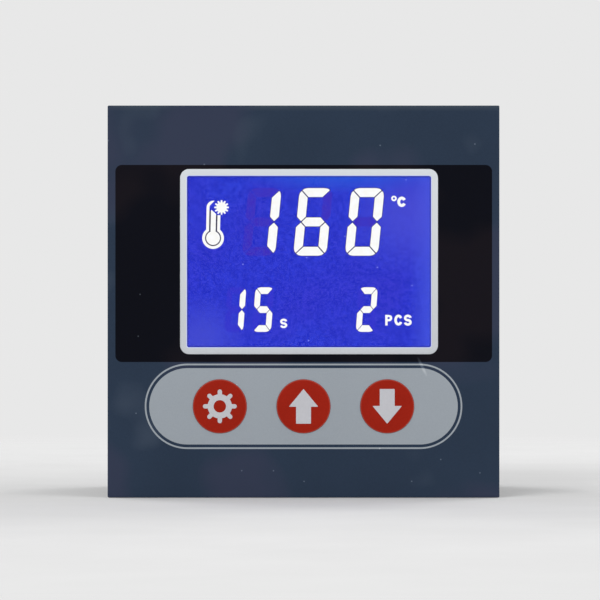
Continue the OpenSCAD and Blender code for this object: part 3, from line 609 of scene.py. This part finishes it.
def makeFilm():
    slack, lineStart, steps = face["slack"], keyField["lineGap"], keyField["steps"]
    stripe = [boxLoop(keyField, grow, steps) for grow in (lineStart, lineStart + keyField["line"])]
    fills = [[boxLoop(face, -face["edge"])], [boxLoop(band)], [boxLoop(keyField, 0, steps)], stripe]
    holes = [circle(x, keyRow["z"], keyRow["radius"] + slack) for x in keyRow["places"].values()]
    cuts = [boxLoop(shownFrame, slack)] + holes
    bm = bmesh.new()
    addPlate(bm, fills, cuts, face["front"], face["back"], face["edge"], roundCuts=False)
    finishPiece(bm, "printedFilm", ["slatePrint", "blackPrint", "greyPrint", "greyPrint"], "housing",
                ["graphic_overlay"])


makeFilm()
print("film printed")


# the pale frame round the display, with rounded edges: its inner half is lit by the display
def makeFrame():
    low, high = face["front"] - shownFrame["proud"], face["back"]
    wide, soft = shownFrame["band"], shownFrame["round"]

    def loop(shrink, y):
        return [(x, y, z) for x, z in boxLoop(shownFrame, -shrink, leastCorner=shownFrame["inner"])]

    centre = low + soft
    profile = [(0.0, high), (0.0, centre)]
    profile += [(soft - soft * math.cos(t), centre - soft * math.sin(t)) for t in shownFrame["outerTurns"]]
    litFrom = len(profile)
    inner = wide - soft
    profile += [(inner + soft * math.sin(t), centre - soft * math.cos(t)) for t in shownFrame["innerTurns"]]
    profile += [(wide, high)]
    paints = [int(litFrom <= i < len(profile) - 1) for i in range(len(profile))]
    bm = bmesh.new()
    addRing(bm, [loop(shrink, y) for shrink, y in profile], paints)
    finishPiece(bm, "displayFrame", ["framePaint", "frameLit"], "housing", ["display_frame"])


makeFrame()

# the display: two glass plates and, on the front one, lit figures and signs
lcd = {"width": 62.2, "height": 44.4, "front": -5.05, "middle": -3.65, "back": -2.25, "ledge": 1.6,
       "corner": 0.2, "cornerSteps": 2, "edge": 0.05, "lift": 0.03, "hairline": 0.02}
bigFigures = {"height": 16.86, "width": 8.39, "upright": 2.41, "level": 2.44, "gap": 0.26, "slant": 5.65,
              "corner": 2.1, "soft": 0.1, "z": 19.54}
smallFigures = {"height": 11.1, "width": 4.75, "upright": 1.53, "level": 1.79, "gap": 0.14, "slant": 4.3,
                "corner": 1.4, "soft": 0.08, "z": -2.0}
bigCells = [(-10.25, "bc"), (2.35, "afgedc"), (15.03, "abcdef")]
smallCells = [(-16.75, "bc"), (-9.89, "afgcd"), (15.55, "abged")]
barSteps = {"bend": 4, "soft": 2}


# the bars of a figure, named a to g from the top round and then the middle one
def figureBars(style, x, names, gap):
    hw, hh, tv, th = style["width"] / 2, style["height"] / 2, style["upright"], style["level"]
    lean = math.tan(math.radians(style["slant"]))
    bend = arc(hw - style["corner"], hh - style["corner"], style["corner"], 90, 0, barSteps["bend"])
    mitre = barSteps["bend"] // 2
    half = bend[:mitre + 1] + [(hw - tv, hh - th)]
    top = half + [(-px, pz) for px, pz in half[::-1]]
    side = bend[mitre:] + [(hw, th / 2), (hw - tv / 2, 0), (hw - tv, th / 2), (hw - tv, hh - th)]
    middle = [(-hw + tv / 2, 0), (-hw + tv, th / 2), (hw - tv, th / 2), (hw - tv / 2, 0),
              (hw - tv, -th / 2), (-hw + tv, -th / 2)]
    bars = {"a": (top, 1, 1), "d": (top, 1, -1), "b": (side, 1, 1), "c": (side, 1, -1), "f": (side, -1, 1),
            "e": (side, -1, -1), "g": (middle, 1, 1)}
    loops = []
    for name in names:
        points, sx, sz = bars[name]
        loop = insetOutline([(px * sx, pz * sz) for px, pz in points], gap / 2)
        loop = softenOutline(loop, style["soft"], barSteps["soft"])
        loops.append([(x + px + pz * lean, style["z"] + pz) for px, pz in loop])
    return loops


# a band of even width along a line of points, with its last end cut back on the right for a slant
def strokeOutline(points, width, cutBack=0):
    left, right = [], []
    for i, point in enumerate(points):
        here = Vector(point)
        steps = []
        if i > 0:
            steps.append((here - Vector(points[i - 1])).normalized())
        if i < len(points) - 1:
            steps.append((Vector(points[i + 1]) - here).normalized())
        sides = [Vector((-s.y, s.x)) for s in steps]
        out = sum(sides, Vector((0, 0))) / (1 + sides[0].dot(sides[-1])) if len(sides) > 1 else sides[0]
        left.append(tuple(here + out * width / 2))
        right.append(tuple(here - out * width / 2))
    return left + right[:len(right) - cutBack][::-1]


thermometer = {"x": -22.22, "bulbZ": 15.57, "tubeX": -22.11, "bulb": 2.32, "wall": 0.7, "inner": 1.69,
               "tube": 1.35, "column": 0.625, "arcZ": 23.05, "arcEnd": 81, "arcSteps": 11, "cutBack": 5,
               "rightTop": 21.2, "columnTop": 22.5, "columnLow": 21.5, "shoulder": 0.2, "shoulderWide": 0.12,
               "bulbSteps": 40}
sun = {"x": -20.13, "z": 23.1, "core": 1.25, "reach": 1.8, "rays": 12, "root": 0.2, "tip": 0.1}
unitSigns = {"degree": {"place": (22.22, 25.3), "outer": (0.68, 32), "inner": (0.27, 24)},
             "rounds": [(24.14, 24.48, 2.2, 2.55, 0.72), (23.33, -4.58, 2.06, 2.68, 0.64)],
             "mouth": 28, "roundSteps": 28,
             "swirls": [(-4.87, -5.4, 1.76, 2.34, 0.52), (25.63, -4.6, 1.92, 2.72, 0.6)],
             "hook": 6, "swirlSteps": 18,
             "letters": [("P", 20.94, -4.6, 1.72, 2.6, 0.036)]}


# the sign's wall and column, and the painted shade that shows dark between them
def thermometerLoops():
    t = thermometer

    def openBulb(radius, neck):
        swing = math.degrees(math.asin(neck / radius))
        return arc(t["x"], t["bulbZ"], radius, 90 - swing, -270 + swing, t["bulbSteps"])

    bulb = openBulb(t["bulb"], t["tube"])
    bend = arc(t["tubeX"], t["arcZ"], t["tube"], 180, t["arcEnd"], t["arcSteps"])
    shell = [(t["tubeX"] + t["tube"], t["rightTop"])] + bulb + bend
    left, right = t["tubeX"] - t["column"], t["tubeX"] + t["column"]
    shoulder = (left, t["columnTop"] - t["shoulder"])
    column = openBulb(t["inner"], t["column"])
    column += [shoulder, (left + t["shoulderWide"], t["columnTop"]), (right, t["columnLow"])]
    between = [(t["tubeX"] + t["tube"], t["rightTop"])] + bulb
    between += [(t["tubeX"] - t["tube"], shoulder[1]), shoulder, (right, t["rightTop"])]
    return [strokeOutline(shell, t["wall"], t["cutBack"]), column], between


# a round letter: a band along most of an oval, open on the right
def roundLetter(x, z, width, height, stroke):
    across, up, mouth = (width - stroke) / 2, (height - stroke) / 2, unitSigns["mouth"]
    oval = arc(0, 0, 1, mouth, 360 - mouth, unitSigns["roundSteps"])
    return strokeOutline([(x + across * px, z + up * pz) for px, pz in oval], stroke)


# a letter of two half rounds, one over the other, that turn opposite ways
def swirlLetter(x, z, width, height, stroke):
    across, up, hook = (width - stroke) / 2, (height - stroke) / 4, unitSigns["hook"]
    half = arc(0, 0, 1, hook, 270, unitSigns["swirlSteps"])
    upper = [(px * across, (pz + 1) * up) for px, pz in half]
    lower = [(-px, -pz) for px, pz in upper[-2::-1]]
    return strokeOutline([(x + px, z + pz) for px, pz in upper + lower], stroke)


def sunLoop():
    core, reach, root, tip = sun["core"], sun["reach"], sun["root"], sun["tip"]
    loop = []
    for i in range(sun["rays"]):
        for radius, swing in ((core, -root), (reach, -tip), (reach, tip), (core, root)):
            turn = 2 * math.pi * i / sun["rays"] + swing
            loop.append((sun["x"] + radius * math.cos(turn), sun["z"] + radius * math.sin(turn)))
    return loop


def makeDisplay():
    bm = bmesh.new()
    for trim, outside in ((0, "front"), (2 * lcd["ledge"], "back")):
        glass = roundRect(shownFrame["x"], shownFrame["z"], lcd["width"], lcd["height"] - trim,
                          lcd["corner"], lcd["cornerSteps"])
        addPlate(bm, [[glass]], [], lcd[outside], lcd["middle"], lcd["edge"])
    finishPiece(bm, "displayGlass", ["litField"], "housing", ["lcd_glass"])

    low = lcd["front"]
    high, middle = low - lcd["lift"], low - lcd["lift"] / 2
    lit, gapShade, resting = bmesh.new(), bmesh.new(), bmesh.new()
    for faint, (style, cells) in enumerate(((bigFigures, bigCells), (smallFigures, smallCells))):
        for place, names in cells:
            for loop in figureBars(style, place, names, style["gap"]):
                addPlate(lit, [[loop]], [], high, low)
            # painted shade: a dark plate under each lit figure, showing as dark lines in its splits and
            # round its edge
            for loop in figureBars(style, place, names, lcd["hairline"]):
                addPlate(gapShade, [[loop]], [], middle, low)
            others = [n for n in "abcdefg" if n not in names]
            for loop in figureBars(style, place, others, style["gap"]):
                addPlate(resting, [[loop]], [], middle, low, paint=faint)
    signs, between = thermometerLoops()
    # painted shade between the thermometer's wall and column
    addPlate(gapShade, [[between]], [], middle, low)
    signs += [sunLoop()] + [roundLetter(*place) for place in unitSigns["rounds"]]
    signs += [swirlLetter(*place) for place in unitSigns["swirls"]]
    for loop in signs:
        addPlate(lit, [[loop]], [], high, low)
    ring = unitSigns["degree"]
    outer, inner = [circle(*ring["place"], *ring[name]) for name in ("outer", "inner")]
    addPlate(lit, [[outer]], [inner], high, low)
    for sign, x, z, width, height, bold in unitSigns["letters"]:
        addWords(lit, sign, x, z, width, height, high, low, bold)
    finishPiece(lit, "litFigures", ["displayWhite"], "housing")
    finishPiece(gapShade, "figureGaps", ["displayGapShade"], "housing")
    finishPiece(resting, "restingFigures", ["displayGhost", "displayFaint"], "housing")


makeDisplay()
print("display lit")

# the three keys: turned caps with a sign let into each
keyCap = {"top": -8.25, "round": 0.22, "turns": (0.0, 0.4, 0.8, 1.2, math.pi / 2), "flat": 4.4,
          "flangeFront": -5.05, "flange": 7.8, "flangeBack": -4.05, "stem": 2.2, "stemBack": -3.45,
          "signLift": 0.04, "signDeep": 0.1, "signEdge": 0.03}
gear = {"ring": 2.95, "hole": 1.55, "reach": 4.12, "tooth": 1.02, "teeth": 8, "tipSteps": 8, "rootSteps": 6,
        "holeSteps": 48}
arrow = {"height": 8.45, "head": 7.1, "headHeight": 4.3, "shaft": 3.6, "soft": 0.08, "softSteps": 3}


def gearLoop(x, z):
    half = gear["tooth"] / 2
    swing = math.degrees(math.asin(half / gear["ring"]))
    tip = gear["reach"] - half
    step = 360 / gear["teeth"]
    loop = []
    for i in range(gear["teeth"]):
        turn = i * step + 90
        centre = (x + tip * math.cos(math.radians(turn)), z + tip * math.sin(math.radians(turn)))
        loop += arc(*centre, half, turn - 90, turn + 90, gear["tipSteps"])
        loop += arc(x, z, gear["ring"], turn + swing, turn + step - swing, gear["rootSteps"])
    return loop


def arrowLoop(x, z, way):
    tall, head, shaft = arrow["height"] / 2, arrow["head"] / 2, arrow["shaft"] / 2
    neck = tall - arrow["headHeight"]
    half = [(0, tall), (head, neck), (shaft, neck), (shaft, -tall)]
    points = half + [(-px, pz) for px, pz in half[:0:-1]]
    placed = [(x + px, z + pz * way) for px, pz in points]
    return softenOutline(placed, arrow["soft"], arrow["softSteps"])


def makeKey(name, x):
    k, r, z = keyCap, keyRow["radius"], keyRow["z"]
    top, soft = k["top"], k["round"]
    bend = [(r - soft + soft * math.sin(t), top + soft - soft * math.cos(t)) for t in k["turns"]]
    profile = [(0, top), (k["flat"], top)] + bend
    profile += [(r, k["flangeFront"]), (k["flange"], k["flangeFront"]), (k["flange"], k["flangeBack"]),
                (k["stem"], k["flangeBack"]), (k["stem"], k["stemBack"]), (0, k["stemBack"])]
    # the rounded rim is painted lighter, a painted highlight
    paints = [int(1 < i < len(bend)) for i in range(len(profile) - 1)]  # the rim has its own finish
    bm = bmesh.new()
    addTurned(bm, profile, x, z, paints=paints)
    loops, holes = [arrowLoop(x, z, -1 if name == "down" else 1)], []
    if name == "set":
        loops, holes = [gearLoop(x, z)], [circle(x, z, gear["hole"], gear["holeSteps"])]
    addPlate(bm, [loops], holes, top - k["signLift"], top + k["signDeep"], k["signEdge"], paint=2)
    finishPiece(bm, f"{name}Key", ["keyRed", "keyRimHighlight", "keySign"], f"{name}_key", [f"key_{name}"])


for keyName, keyX in keyRow["places"].items():
    makeKey(keyName, keyX)
print("keys made")


def makeDome(name):
    dome = finishPiece(meshOf(f"dome_{name}"), f"{name}Dome", ["springSteel"], "housing",
                       [f"dome_{name}"], recalc=False)
    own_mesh(dome)


for keyName, keyX in keyRow["places"].items():
    makeDome(keyName)

# mouldings behind the face: node, piece, finishes of faces and edges, body, slot, rounding
shell, strip = ["mouldedBlack", "mouldedEdge"], ["terminalBlack", "mouldedEdge"]
cast, rubber, nylon = ["castZinc", "castEdge"], ["gasketRubber"] * 2, ["footNylon"] * 2
mouldings = [("bezel", "bezelShell", shell, "housing", "moulding_black", 0.2),
             ("case", "rearCase", shell, "housing", "moulding_black", 0.2),
             ("panel_gasket", "panelGasket", rubber, "housing", "gasket_rubber", 0.2)]
for side in ("upper", "lower"):
    mouldings += [
        (f"terminal_strip_{side}", f"{side}TerminalStrip", strip, "housing", "terminal_black", 0.12),
        (f"clamp_bracket_{side}", f"{side}ClampBracket", cast, "housing", "zinc_steel", 0.3),
        (f"clamp_foot_{side}", f"{side}ClampFoot", nylon, f"{side}_foot", "foot_nylon", 0.2),
    ]
for moulding in mouldings:
    softCopy(*moulding)
print("mouldings rounded")


# starts a geometry node tree with the given inputs, and ends one with its real geometry in a finish
def startTree(name, inputs):
    tree = bpy.data.node_groups.new(name, "GeometryNodeTree")
    for inputName, kind in {**inputs, "Finish": "Material"}.items():
        tree.interface.new_socket(inputName, in_out="INPUT", socket_type=f"NodeSocket{kind}")
    tree.interface.new_socket("Geometry", in_out="OUTPUT", socket_type="NodeSocketGeometry")
    return tree, addNode(tree, "NodeGroupInput", {})


def endTree(tree, given, geometry):
    real = addNode(tree, "GeometryNodeRealizeInstances", {0: geometry})[0]
    painted = addNode(tree, "GeometryNodeSetMaterial", {"Geometry": real, "Material": given["Finish"]})[0]
    addNode(tree, "NodeGroupOutput", {0: painted})


def vectorOf(tree, **parts):
    return addNode(tree, "ShaderNodeCombineXYZ", parts)[0]


# runs a tree on an empty mesh and returns what it makes as a plain mesh
def growMesh(tree, values):
    host = addObject("grower", bpy.data.meshes.new("grower"))
    maker = host.modifiers.new("grow", "NODES")
    maker.node_group = tree
    for item in tree.interface.items_tree:
        if item.item_type == "SOCKET" and item.in_out == "INPUT":
            maker[item.identifier] = values[item.name]
    mesh = finalMesh(host)
    for polygon in mesh.polygons:  # the finish is the piece's only one
        polygon.material_index = 0
    host.modifiers.remove(maker)
    bpy.data.objects.remove(host)
    return mesh


# terminal hardware: one of each is shaped here and set out in two rows by geometry nodes
terminals = {"ways": 6, "pitch": 9.5, "z": 25.75, "deck": 62.5, "thick": 0.8, "hole": 1.85, "holeSteps": 32,
             "cornerSteps": 4, "seed": 4}
terminalPlate = {"x": 0.0, "z": 0.0, "width": 7.7, "height": 11.7, "corner": 0.5, "edge": 0.1}
terminalWasher = {"x": 0.0, "z": 0.0, "width": 6.6, "height": 6.6, "corner": 0.62, "edge": 0.12}
terminalScrew = {"head": 3.0, "headTall": 2.0, "slot": 0.9, "slotLong": 4.0, "slotShort": 1.8, "round": 0.3,
                 "crown": 2.55, "edge": 0.15, "shank": 1.75, "deep": 8.0, "steps": 48}


def rowTree():
    tree, given = startTree("terminalRows", {"Shape": "Object", "Ways": "Int", "Pitch": "Float",
                                             "Row height": "Float", "Turn": "Float", "Seed": "Int"})
    rows = tree.nodes.new("GeometryNodeJoinGeometry")
    start = mathOf(tree, "MULTIPLY", mathOf(tree, "MULTIPLY_ADD", given["Ways"], -0.5, 0.5), given["Pitch"])
    stride = vectorOf(tree, X=given["Pitch"])
    for sign in (1, -1):
        first = vectorOf(tree, X=start, Z=mathOf(tree, "MULTIPLY", given["Row height"], sign))
        inputs = {"Count": given["Ways"], "Start Location": first, "Offset": stride}
        line = addNode(tree, "GeometryNodeMeshLine", inputs)["Mesh"]
        tree.links.new(line, rows.inputs[0])
    inputs = {3: given["Turn"], "Seed": given["Seed"]}
    chance = addNode(tree, "FunctionNodeRandomValue", inputs, data_type="FLOAT")[1]
    turn = addNode(tree, "FunctionNodeEulerToRotation", {0: vectorOf(tree, Y=chance)})[0]
    shape = addNode(tree, "GeometryNodeObjectInfo", {"Object": given["Shape"]})["Geometry"]
    inputs = {"Points": rows.outputs[0], "Instance": shape, "Rotation": turn}
    endTree(tree, given, addNode(tree, "GeometryNodeInstanceOnPoints", inputs)[0])
    return tree


def crossLoop(long, short, width):
    w = width / 2
    return [(long, -w), (long, w), (w, w), (w, short), (-w, short), (-w, w), (-long, w), (-long, -w),
            (-w, -w), (-w, -short), (w, -short), (w, -w)]


def setOutTerminals():
    t, s = terminals, terminalScrew
    plateBack = t["deck"] + t["thick"]
    washerBack = plateBack + t["thick"]
    headBack = washerBack + s["headTall"]
    tree = rowTree()

    def setOut(bm, name, finishName, node, turn=0.0):
        bmesh.ops.recalc_face_normals(bm, faces=bm.faces)
        shape = addObject("shape", meshFrom(bm, "shape"))
        values = {"Shape": shape, "Ways": t["ways"], "Pitch": t["pitch"] * mm, "Row height": t["z"] * mm,
                  "Turn": turn, "Seed": t["seed"], "Finish": finishes[finishName]}
        grown = growMesh(tree, values)
        bpy.data.objects.remove(shape)
        piece = bmesh.new()
        piece.from_mesh(grown)
        finishPiece(piece, name, [finishName], "housing", [node])

    def holedPlate(plate, back, front):
        bm = bmesh.new()
        loop = boxLoop(plate, -plate["edge"], t["cornerSteps"])
        hole = circle(0, 0, t["hole"], t["holeSteps"])
        addPlate(bm, [[loop]], [hole], back, front, plate["edge"])
        return bm

    plates = holedPlate(terminalPlate, plateBack, t["deck"])
    setOut(plates, "terminalPlates", "brassPlate", "terminal_plates")
    washers = holedPlate(terminalWasher, washerBack, plateBack)
    setOut(washers, "terminalWashers", "zincSteel", "terminal_washers")
    screws = bmesh.new()
    neck, end = headBack - s["headTall"] / 2, t["deck"] - s["deep"]
    cross = crossLoop(s["slotLong"], s["slotShort"], s["slot"])
    addPlate(screws, [[circle(0, 0, s["crown"], s["steps"])]], [cross], headBack, neck, s["round"])
    profile = [(0, neck), (s["head"] - s["edge"], neck), (s["head"], neck - s["edge"]),
               (s["head"], washerBack), (s["shank"], washerBack), (s["shank"], end), (0, end)]
    addTurned(screws, profile, 0, 0, s["steps"])
    setOut(screws, "terminalScrews", "zincSteel", "terminal_screws", math.pi)


setOutTerminals()
print("terminals set out")

# jack screws: the thread is a rule for the radius along and round the rod, in geometry nodes
jack = {"z": 45.125, "tipFront": 5.9333, "tip": 1.0, "tipEdge": 0.2, "tipLap": 0.3, "front": 8.75,
        "length": 26.0, "radius": 1.5, "pitch": 0.5, "depth": 0.27, "rowsPerTurn": 8, "around": 32,
        "crestShare": 1.25, "endShare": 0.9, "merge": 1e-6}
jackHead = {"radius": 2.3, "tall": 2.2, "slot": 0.9, "slotReach": 4.0, "crown": 2.05, "round": 0.2,
            "edge": 0.05, "underEdge": 0.1, "steps": 48}


def threadTree():
    tree, given = startTree("jackThread", {"Radius": "Float", "Depth": "Float", "Pitch": "Float",
                                           "Length": "Float", "Rows": "Int", "Around": "Int"})
    pitch, length = given["Pitch"], given["Length"]

    def calc(operation, *values):
        return mathOf(tree, operation, *values)

    inputs = {"Size X": 1, "Size Y": 1, "Vertices X": given["Around"], "Vertices Y": given["Rows"]}
    sheet = addNode(tree, "GeometryNodeMeshGrid", inputs)["Mesh"]
    place = addNode(tree, "GeometryNodeInputPosition", {})[0]
    spot = addNode(tree, "ShaderNodeSeparateXYZ", {0: place})
    turn = calc("ADD", spot["X"], 0.5)
    lap = calc("MULTIPLY", pitch, 0.5)
    along = calc("MULTIPLY", calc("ADD", spot["Y"], 0.5), calc("ADD", length, pitch))
    along = calc("SUBTRACT", along, lap)
    y = calc("MINIMUM", calc("MAXIMUM", along, 0.0), length)
    phase = calc("FRACT", calc("ADD", calc("DIVIDE", y, pitch), turn))
    wave = calc("ABSOLUTE", calc("SUBTRACT", calc("MULTIPLY", phase, 2.0), 1.0))
    valley = calc("SUBTRACT", given["Radius"], given["Depth"])
    crest = calc("MINIMUM", calc("MULTIPLY", wave, jack["crestShare"]), 1.0)
    crest = calc("MULTIPLY", crest, given["Depth"])
    end = calc("MINIMUM", y, calc("SUBTRACT", length, y))
    fade = calc("MINIMUM", calc("DIVIDE", end, pitch), 1.0)
    radius = calc("ADD", valley, calc("MULTIPLY", crest, fade))
    beyond = calc("MULTIPLY", lap, jack["endShare"])  # rows past either end close it on the axis
    start = calc("GREATER_THAN", along, calc("MULTIPLY", beyond, -1.0))
    stop = calc("LESS_THAN", along, calc("ADD", length, beyond))
    radius = calc("MULTIPLY", radius, calc("MULTIPLY", start, stop))
    angle = calc("MULTIPLY", turn, 2 * math.pi)
    x, z = [calc("MULTIPLY", radius, calc(part, angle)) for part in ("COSINE", "SINE")]
    inputs = {"Geometry": sheet, "Position": vectorOf(tree, X=x, Y=y, Z=z)}
    moved = addNode(tree, "GeometryNodeSetPosition", inputs)[0]
    inputs = {"Geometry": moved, "Distance": jack["merge"]}
    endTree(tree, given, addNode(tree, "GeometryNodeMergeByDistance", inputs)[0])
    return tree


def makeJacks():
    j, h = jack, jackHead
    rows = int(j["rowsPerTurn"] * (j["length"] / j["pitch"] + 1)) + 1
    thread = growMesh(threadTree(), {"Radius": j["radius"] * mm, "Depth": j["depth"] * mm,
                                     "Pitch": j["pitch"] * mm, "Length": j["length"] * mm, "Rows": rows,
                                     "Around": j["around"] + 1, "Finish": finishes["zincSteel"]})
    base = j["front"] + j["length"]
    headBack = base + h["tall"]
    neck = headBack - h["tall"] / 2
    tipBack, half, reach = j["front"] + j["tipLap"], h["slot"] / 2, h["slotReach"]
    tip = [(0, j["tipFront"]), (j["tip"] - j["tipEdge"], j["tipFront"]),
           (j["tip"], j["tipFront"] + j["tipEdge"]), (j["tip"], tipBack), (0, tipBack)]
    head = [(0, neck), (h["radius"] - h["edge"], neck), (h["radius"], neck - h["edge"]),
            (h["radius"], base + h["underEdge"]), (h["radius"] - h["underEdge"], base), (0, base)]
    for name, sign in (("upper", 1), ("lower", -1)):
        z = sign * j["z"]
        bm = bmesh.new()
        bm.from_mesh(thread)
        bmesh.ops.translate(bm, verts=bm.verts, vec=Vector((0, j["front"], z)) * mm)
        addTurned(bm, tip, 0, z, j["around"])
        slot = [(-reach, z - half), (reach, z - half), (reach, z + half), (-reach, z + half)]
        addPlate(bm, [[circle(0, z, h["crown"], h["steps"])]], [slot], headBack, neck, h["round"])
        addTurned(bm, head, 0, z, h["steps"])
        finishPiece(bm, f"{name}JackScrew", ["zincSteel"], f"{name}_jack",
                    [f"clamp_screw_{name}"])


makeJacks()
print("jack screws threaded")

# numbers beside the terminals, and a blank label, drawn flat and turned into its recess at the side
marks = {"z": 14.4, "tall": 2.3, "back": 62.0, "lift": 0.06, "sink": 0.02, "leastArea": 1e-13}
label = {"x": 36.0, "z": 0.0, "width": 35.4, "height": 29.4, "corner": 1.5, "leastCorner": 0.4, "edge": 0.05,
         "base": 42.1, "thick": 0.3, "border": 1.6, "line": 0.35, "rows": 5, "rowStep": 4.2, "rowWide": 27.0,
         "rowLine": 0.22, "rowSteps": 2}


def makeMarks():
    bm = bmesh.new()
    front, back = marks["back"] + marks["lift"], marks["back"] - marks["sink"]
    for i in range(terminals["ways"] * 2):
        column = i % terminals["ways"]
        x = (column - (terminals["ways"] - 1) / 2) * terminals["pitch"]
        z = marks["z"] if i < terminals["ways"] else -marks["z"]
        addWords(bm, str(i + 1), x, z, 0, marks["tall"], front, back)
    for vert in bm.verts:  # read from behind
        vert.co.x = -vert.co.x
    bmesh.ops.reverse_faces(bm, faces=bm.faces)
    bmesh.ops.remove_doubles(bm, verts=bm.verts, dist=weld)
    slivers = [face for face in bm.faces if face.calc_area() < marks["leastArea"]]
    for sliver in slivers:  # the font leaves some, and a turned edge takes them up
        longest = max(sliver.edges, key=lambda edge: edge.calc_length())
        bmesh.ops.rotate_edges(bm, edges=[longest])
    finishPiece(bm, "terminalNumbers", ["numeralPaint"], "housing")


def makeLabel():
    p = label

    def loop(inset):
        return boxLoop(p, -inset, leastCorner=p["leastCorner"])

    bm = bmesh.new()
    border = [loop(p["border"]), loop(p["border"] + p["line"])]
    heights = [(i - (p["rows"] - 1) / 2) * p["rowStep"] for i in range(p["rows"])]
    line = p["rowLine"]
    rules = [roundRect(p["x"], z, p["rowWide"], line, line / 3, p["rowSteps"]) for z in heights]
    addPlate(bm, [[loop(p["edge"])], border, rules], [], p["base"] + p["thick"], p["base"], p["edge"])
    for vert in bm.verts:  # turn the plate from facing back to facing sideways
        vert.co = Vector((vert.co.y, vert.co.x, vert.co.z))
    finishPiece(bm, "blankLabel", ["labelFoil", "labelInk", "labelInk"], "housing")


makeMarks()
makeLabel()
print("marks and label added")

# camera at the photograph's viewing angle, square on to the face
shot = {"x": -0.86, "y": -1008.0, "z": 0.35, "lens": 244.9, "sensor": 36}
cameraData = bpy.data.cameras.new("shot")
cameraData.lens = shot["lens"]
cameraData.sensor_width = shot["sensor"]
camera = addObject("shot", cameraData)
camera.location = Vector((shot["x"], shot["y"], shot["z"])) * mm
camera.rotation_euler = (math.pi / 2, 0, 0)
scene.camera = camera

# soft light from all round, and lamps for shape
lampList = [("frontLeft", (-0.55, -1.15, 0.85), 0.7, 7.0), ("frontRight", (0.9, -0.9, 0.35), 0.8, 4.5),
            ("rearLeft", (-0.8, 0.9, 0.7), 0.7, 5.0), ("rearRight", (0.7, 0.9, 0.6), 0.7, 5.0)]
ambient = 0.55
paper = ink(232, 232, 232)


def makeLights():
    for name, place, size, power in lampList:
        data = bpy.data.lights.new(name, "AREA")
        data.shape = "DISK"
        data.size = size
        data.energy = power
        lamp = addObject(name, data)
        lamp.location = place
        lamp.rotation_euler = Vector(place).to_track_quat("Z", "Y").to_euler()
    world = bpy.data.worlds.new("studio")
    scene.world = world
    world.use_nodes = True
    tree = world.node_tree
    tree.nodes.clear()
    ray = addNode(tree, "ShaderNodeLightPath", {})
    seen = mathOf(tree, "MAXIMUM", ray["Is Camera Ray"], ray["Is Glossy Ray"])
    seen = mathOf(tree, "MAXIMUM", seen, ray["Is Transmission Ray"])
    soft = addNode(tree, "ShaderNodeBackground", {"Color": (1, 1, 1, 1), "Strength": ambient})[0]
    backdrop = addNode(tree, "ShaderNodeBackground", {"Color": paper, "Strength": 1.0})[0]
    both = addNode(tree, "ShaderNodeMixShader", {0: seen, 1: soft, 2: backdrop})[0]
    addNode(tree, "ShaderNodeOutputWorld", {"Surface": both})


# a pale floor that fades into the background
floorPlan = {"z": -48.1, "y": 25.0, "radius": 480.0, "fadeFrom": 200.0, "fadeTo": 440.0, "cloud": 30,
             "tones": [(0.3, (226, 226, 226)), (0.7, (230, 230, 230))]}


def makeFloor():
    tree, shader = startFinish("paleFloor", specular=0.0, rough=0.9)
    stops = [(place, ink(*tone)) for place, tone in floorPlan["tones"]]
    tone = rampFrom(tree, noiseAt(tree, floorPlan["cloud"]), stops)
    away = distanceFrom(tree, (0, floorPlan["y"] * mm, floorPlan["z"] * mm))
    fade = rangeFrom(tree, away, floorPlan["fadeFrom"] * mm, floorPlan["fadeTo"] * mm, 1.0, 0.0)
    fillInputs(tree, shader, {"Base Color": tone, "Alpha": fade})
    bm = bmesh.new()
    rim = [bm.verts.new(Vector((x, y + floorPlan["y"], floorPlan["z"])) * mm)
           for x, y in circle(0, 0, floorPlan["radius"])]
    bm.faces.new(rim)
    mesh = meshFrom(bm, "floor")
    mesh.materials.append(finishes["paleFloor"])
    floor = addObject("floor", mesh)


makeLights()
makeFloor()
scene.view_settings.view_transform = "Standard"
print("camera, lights and floor set")
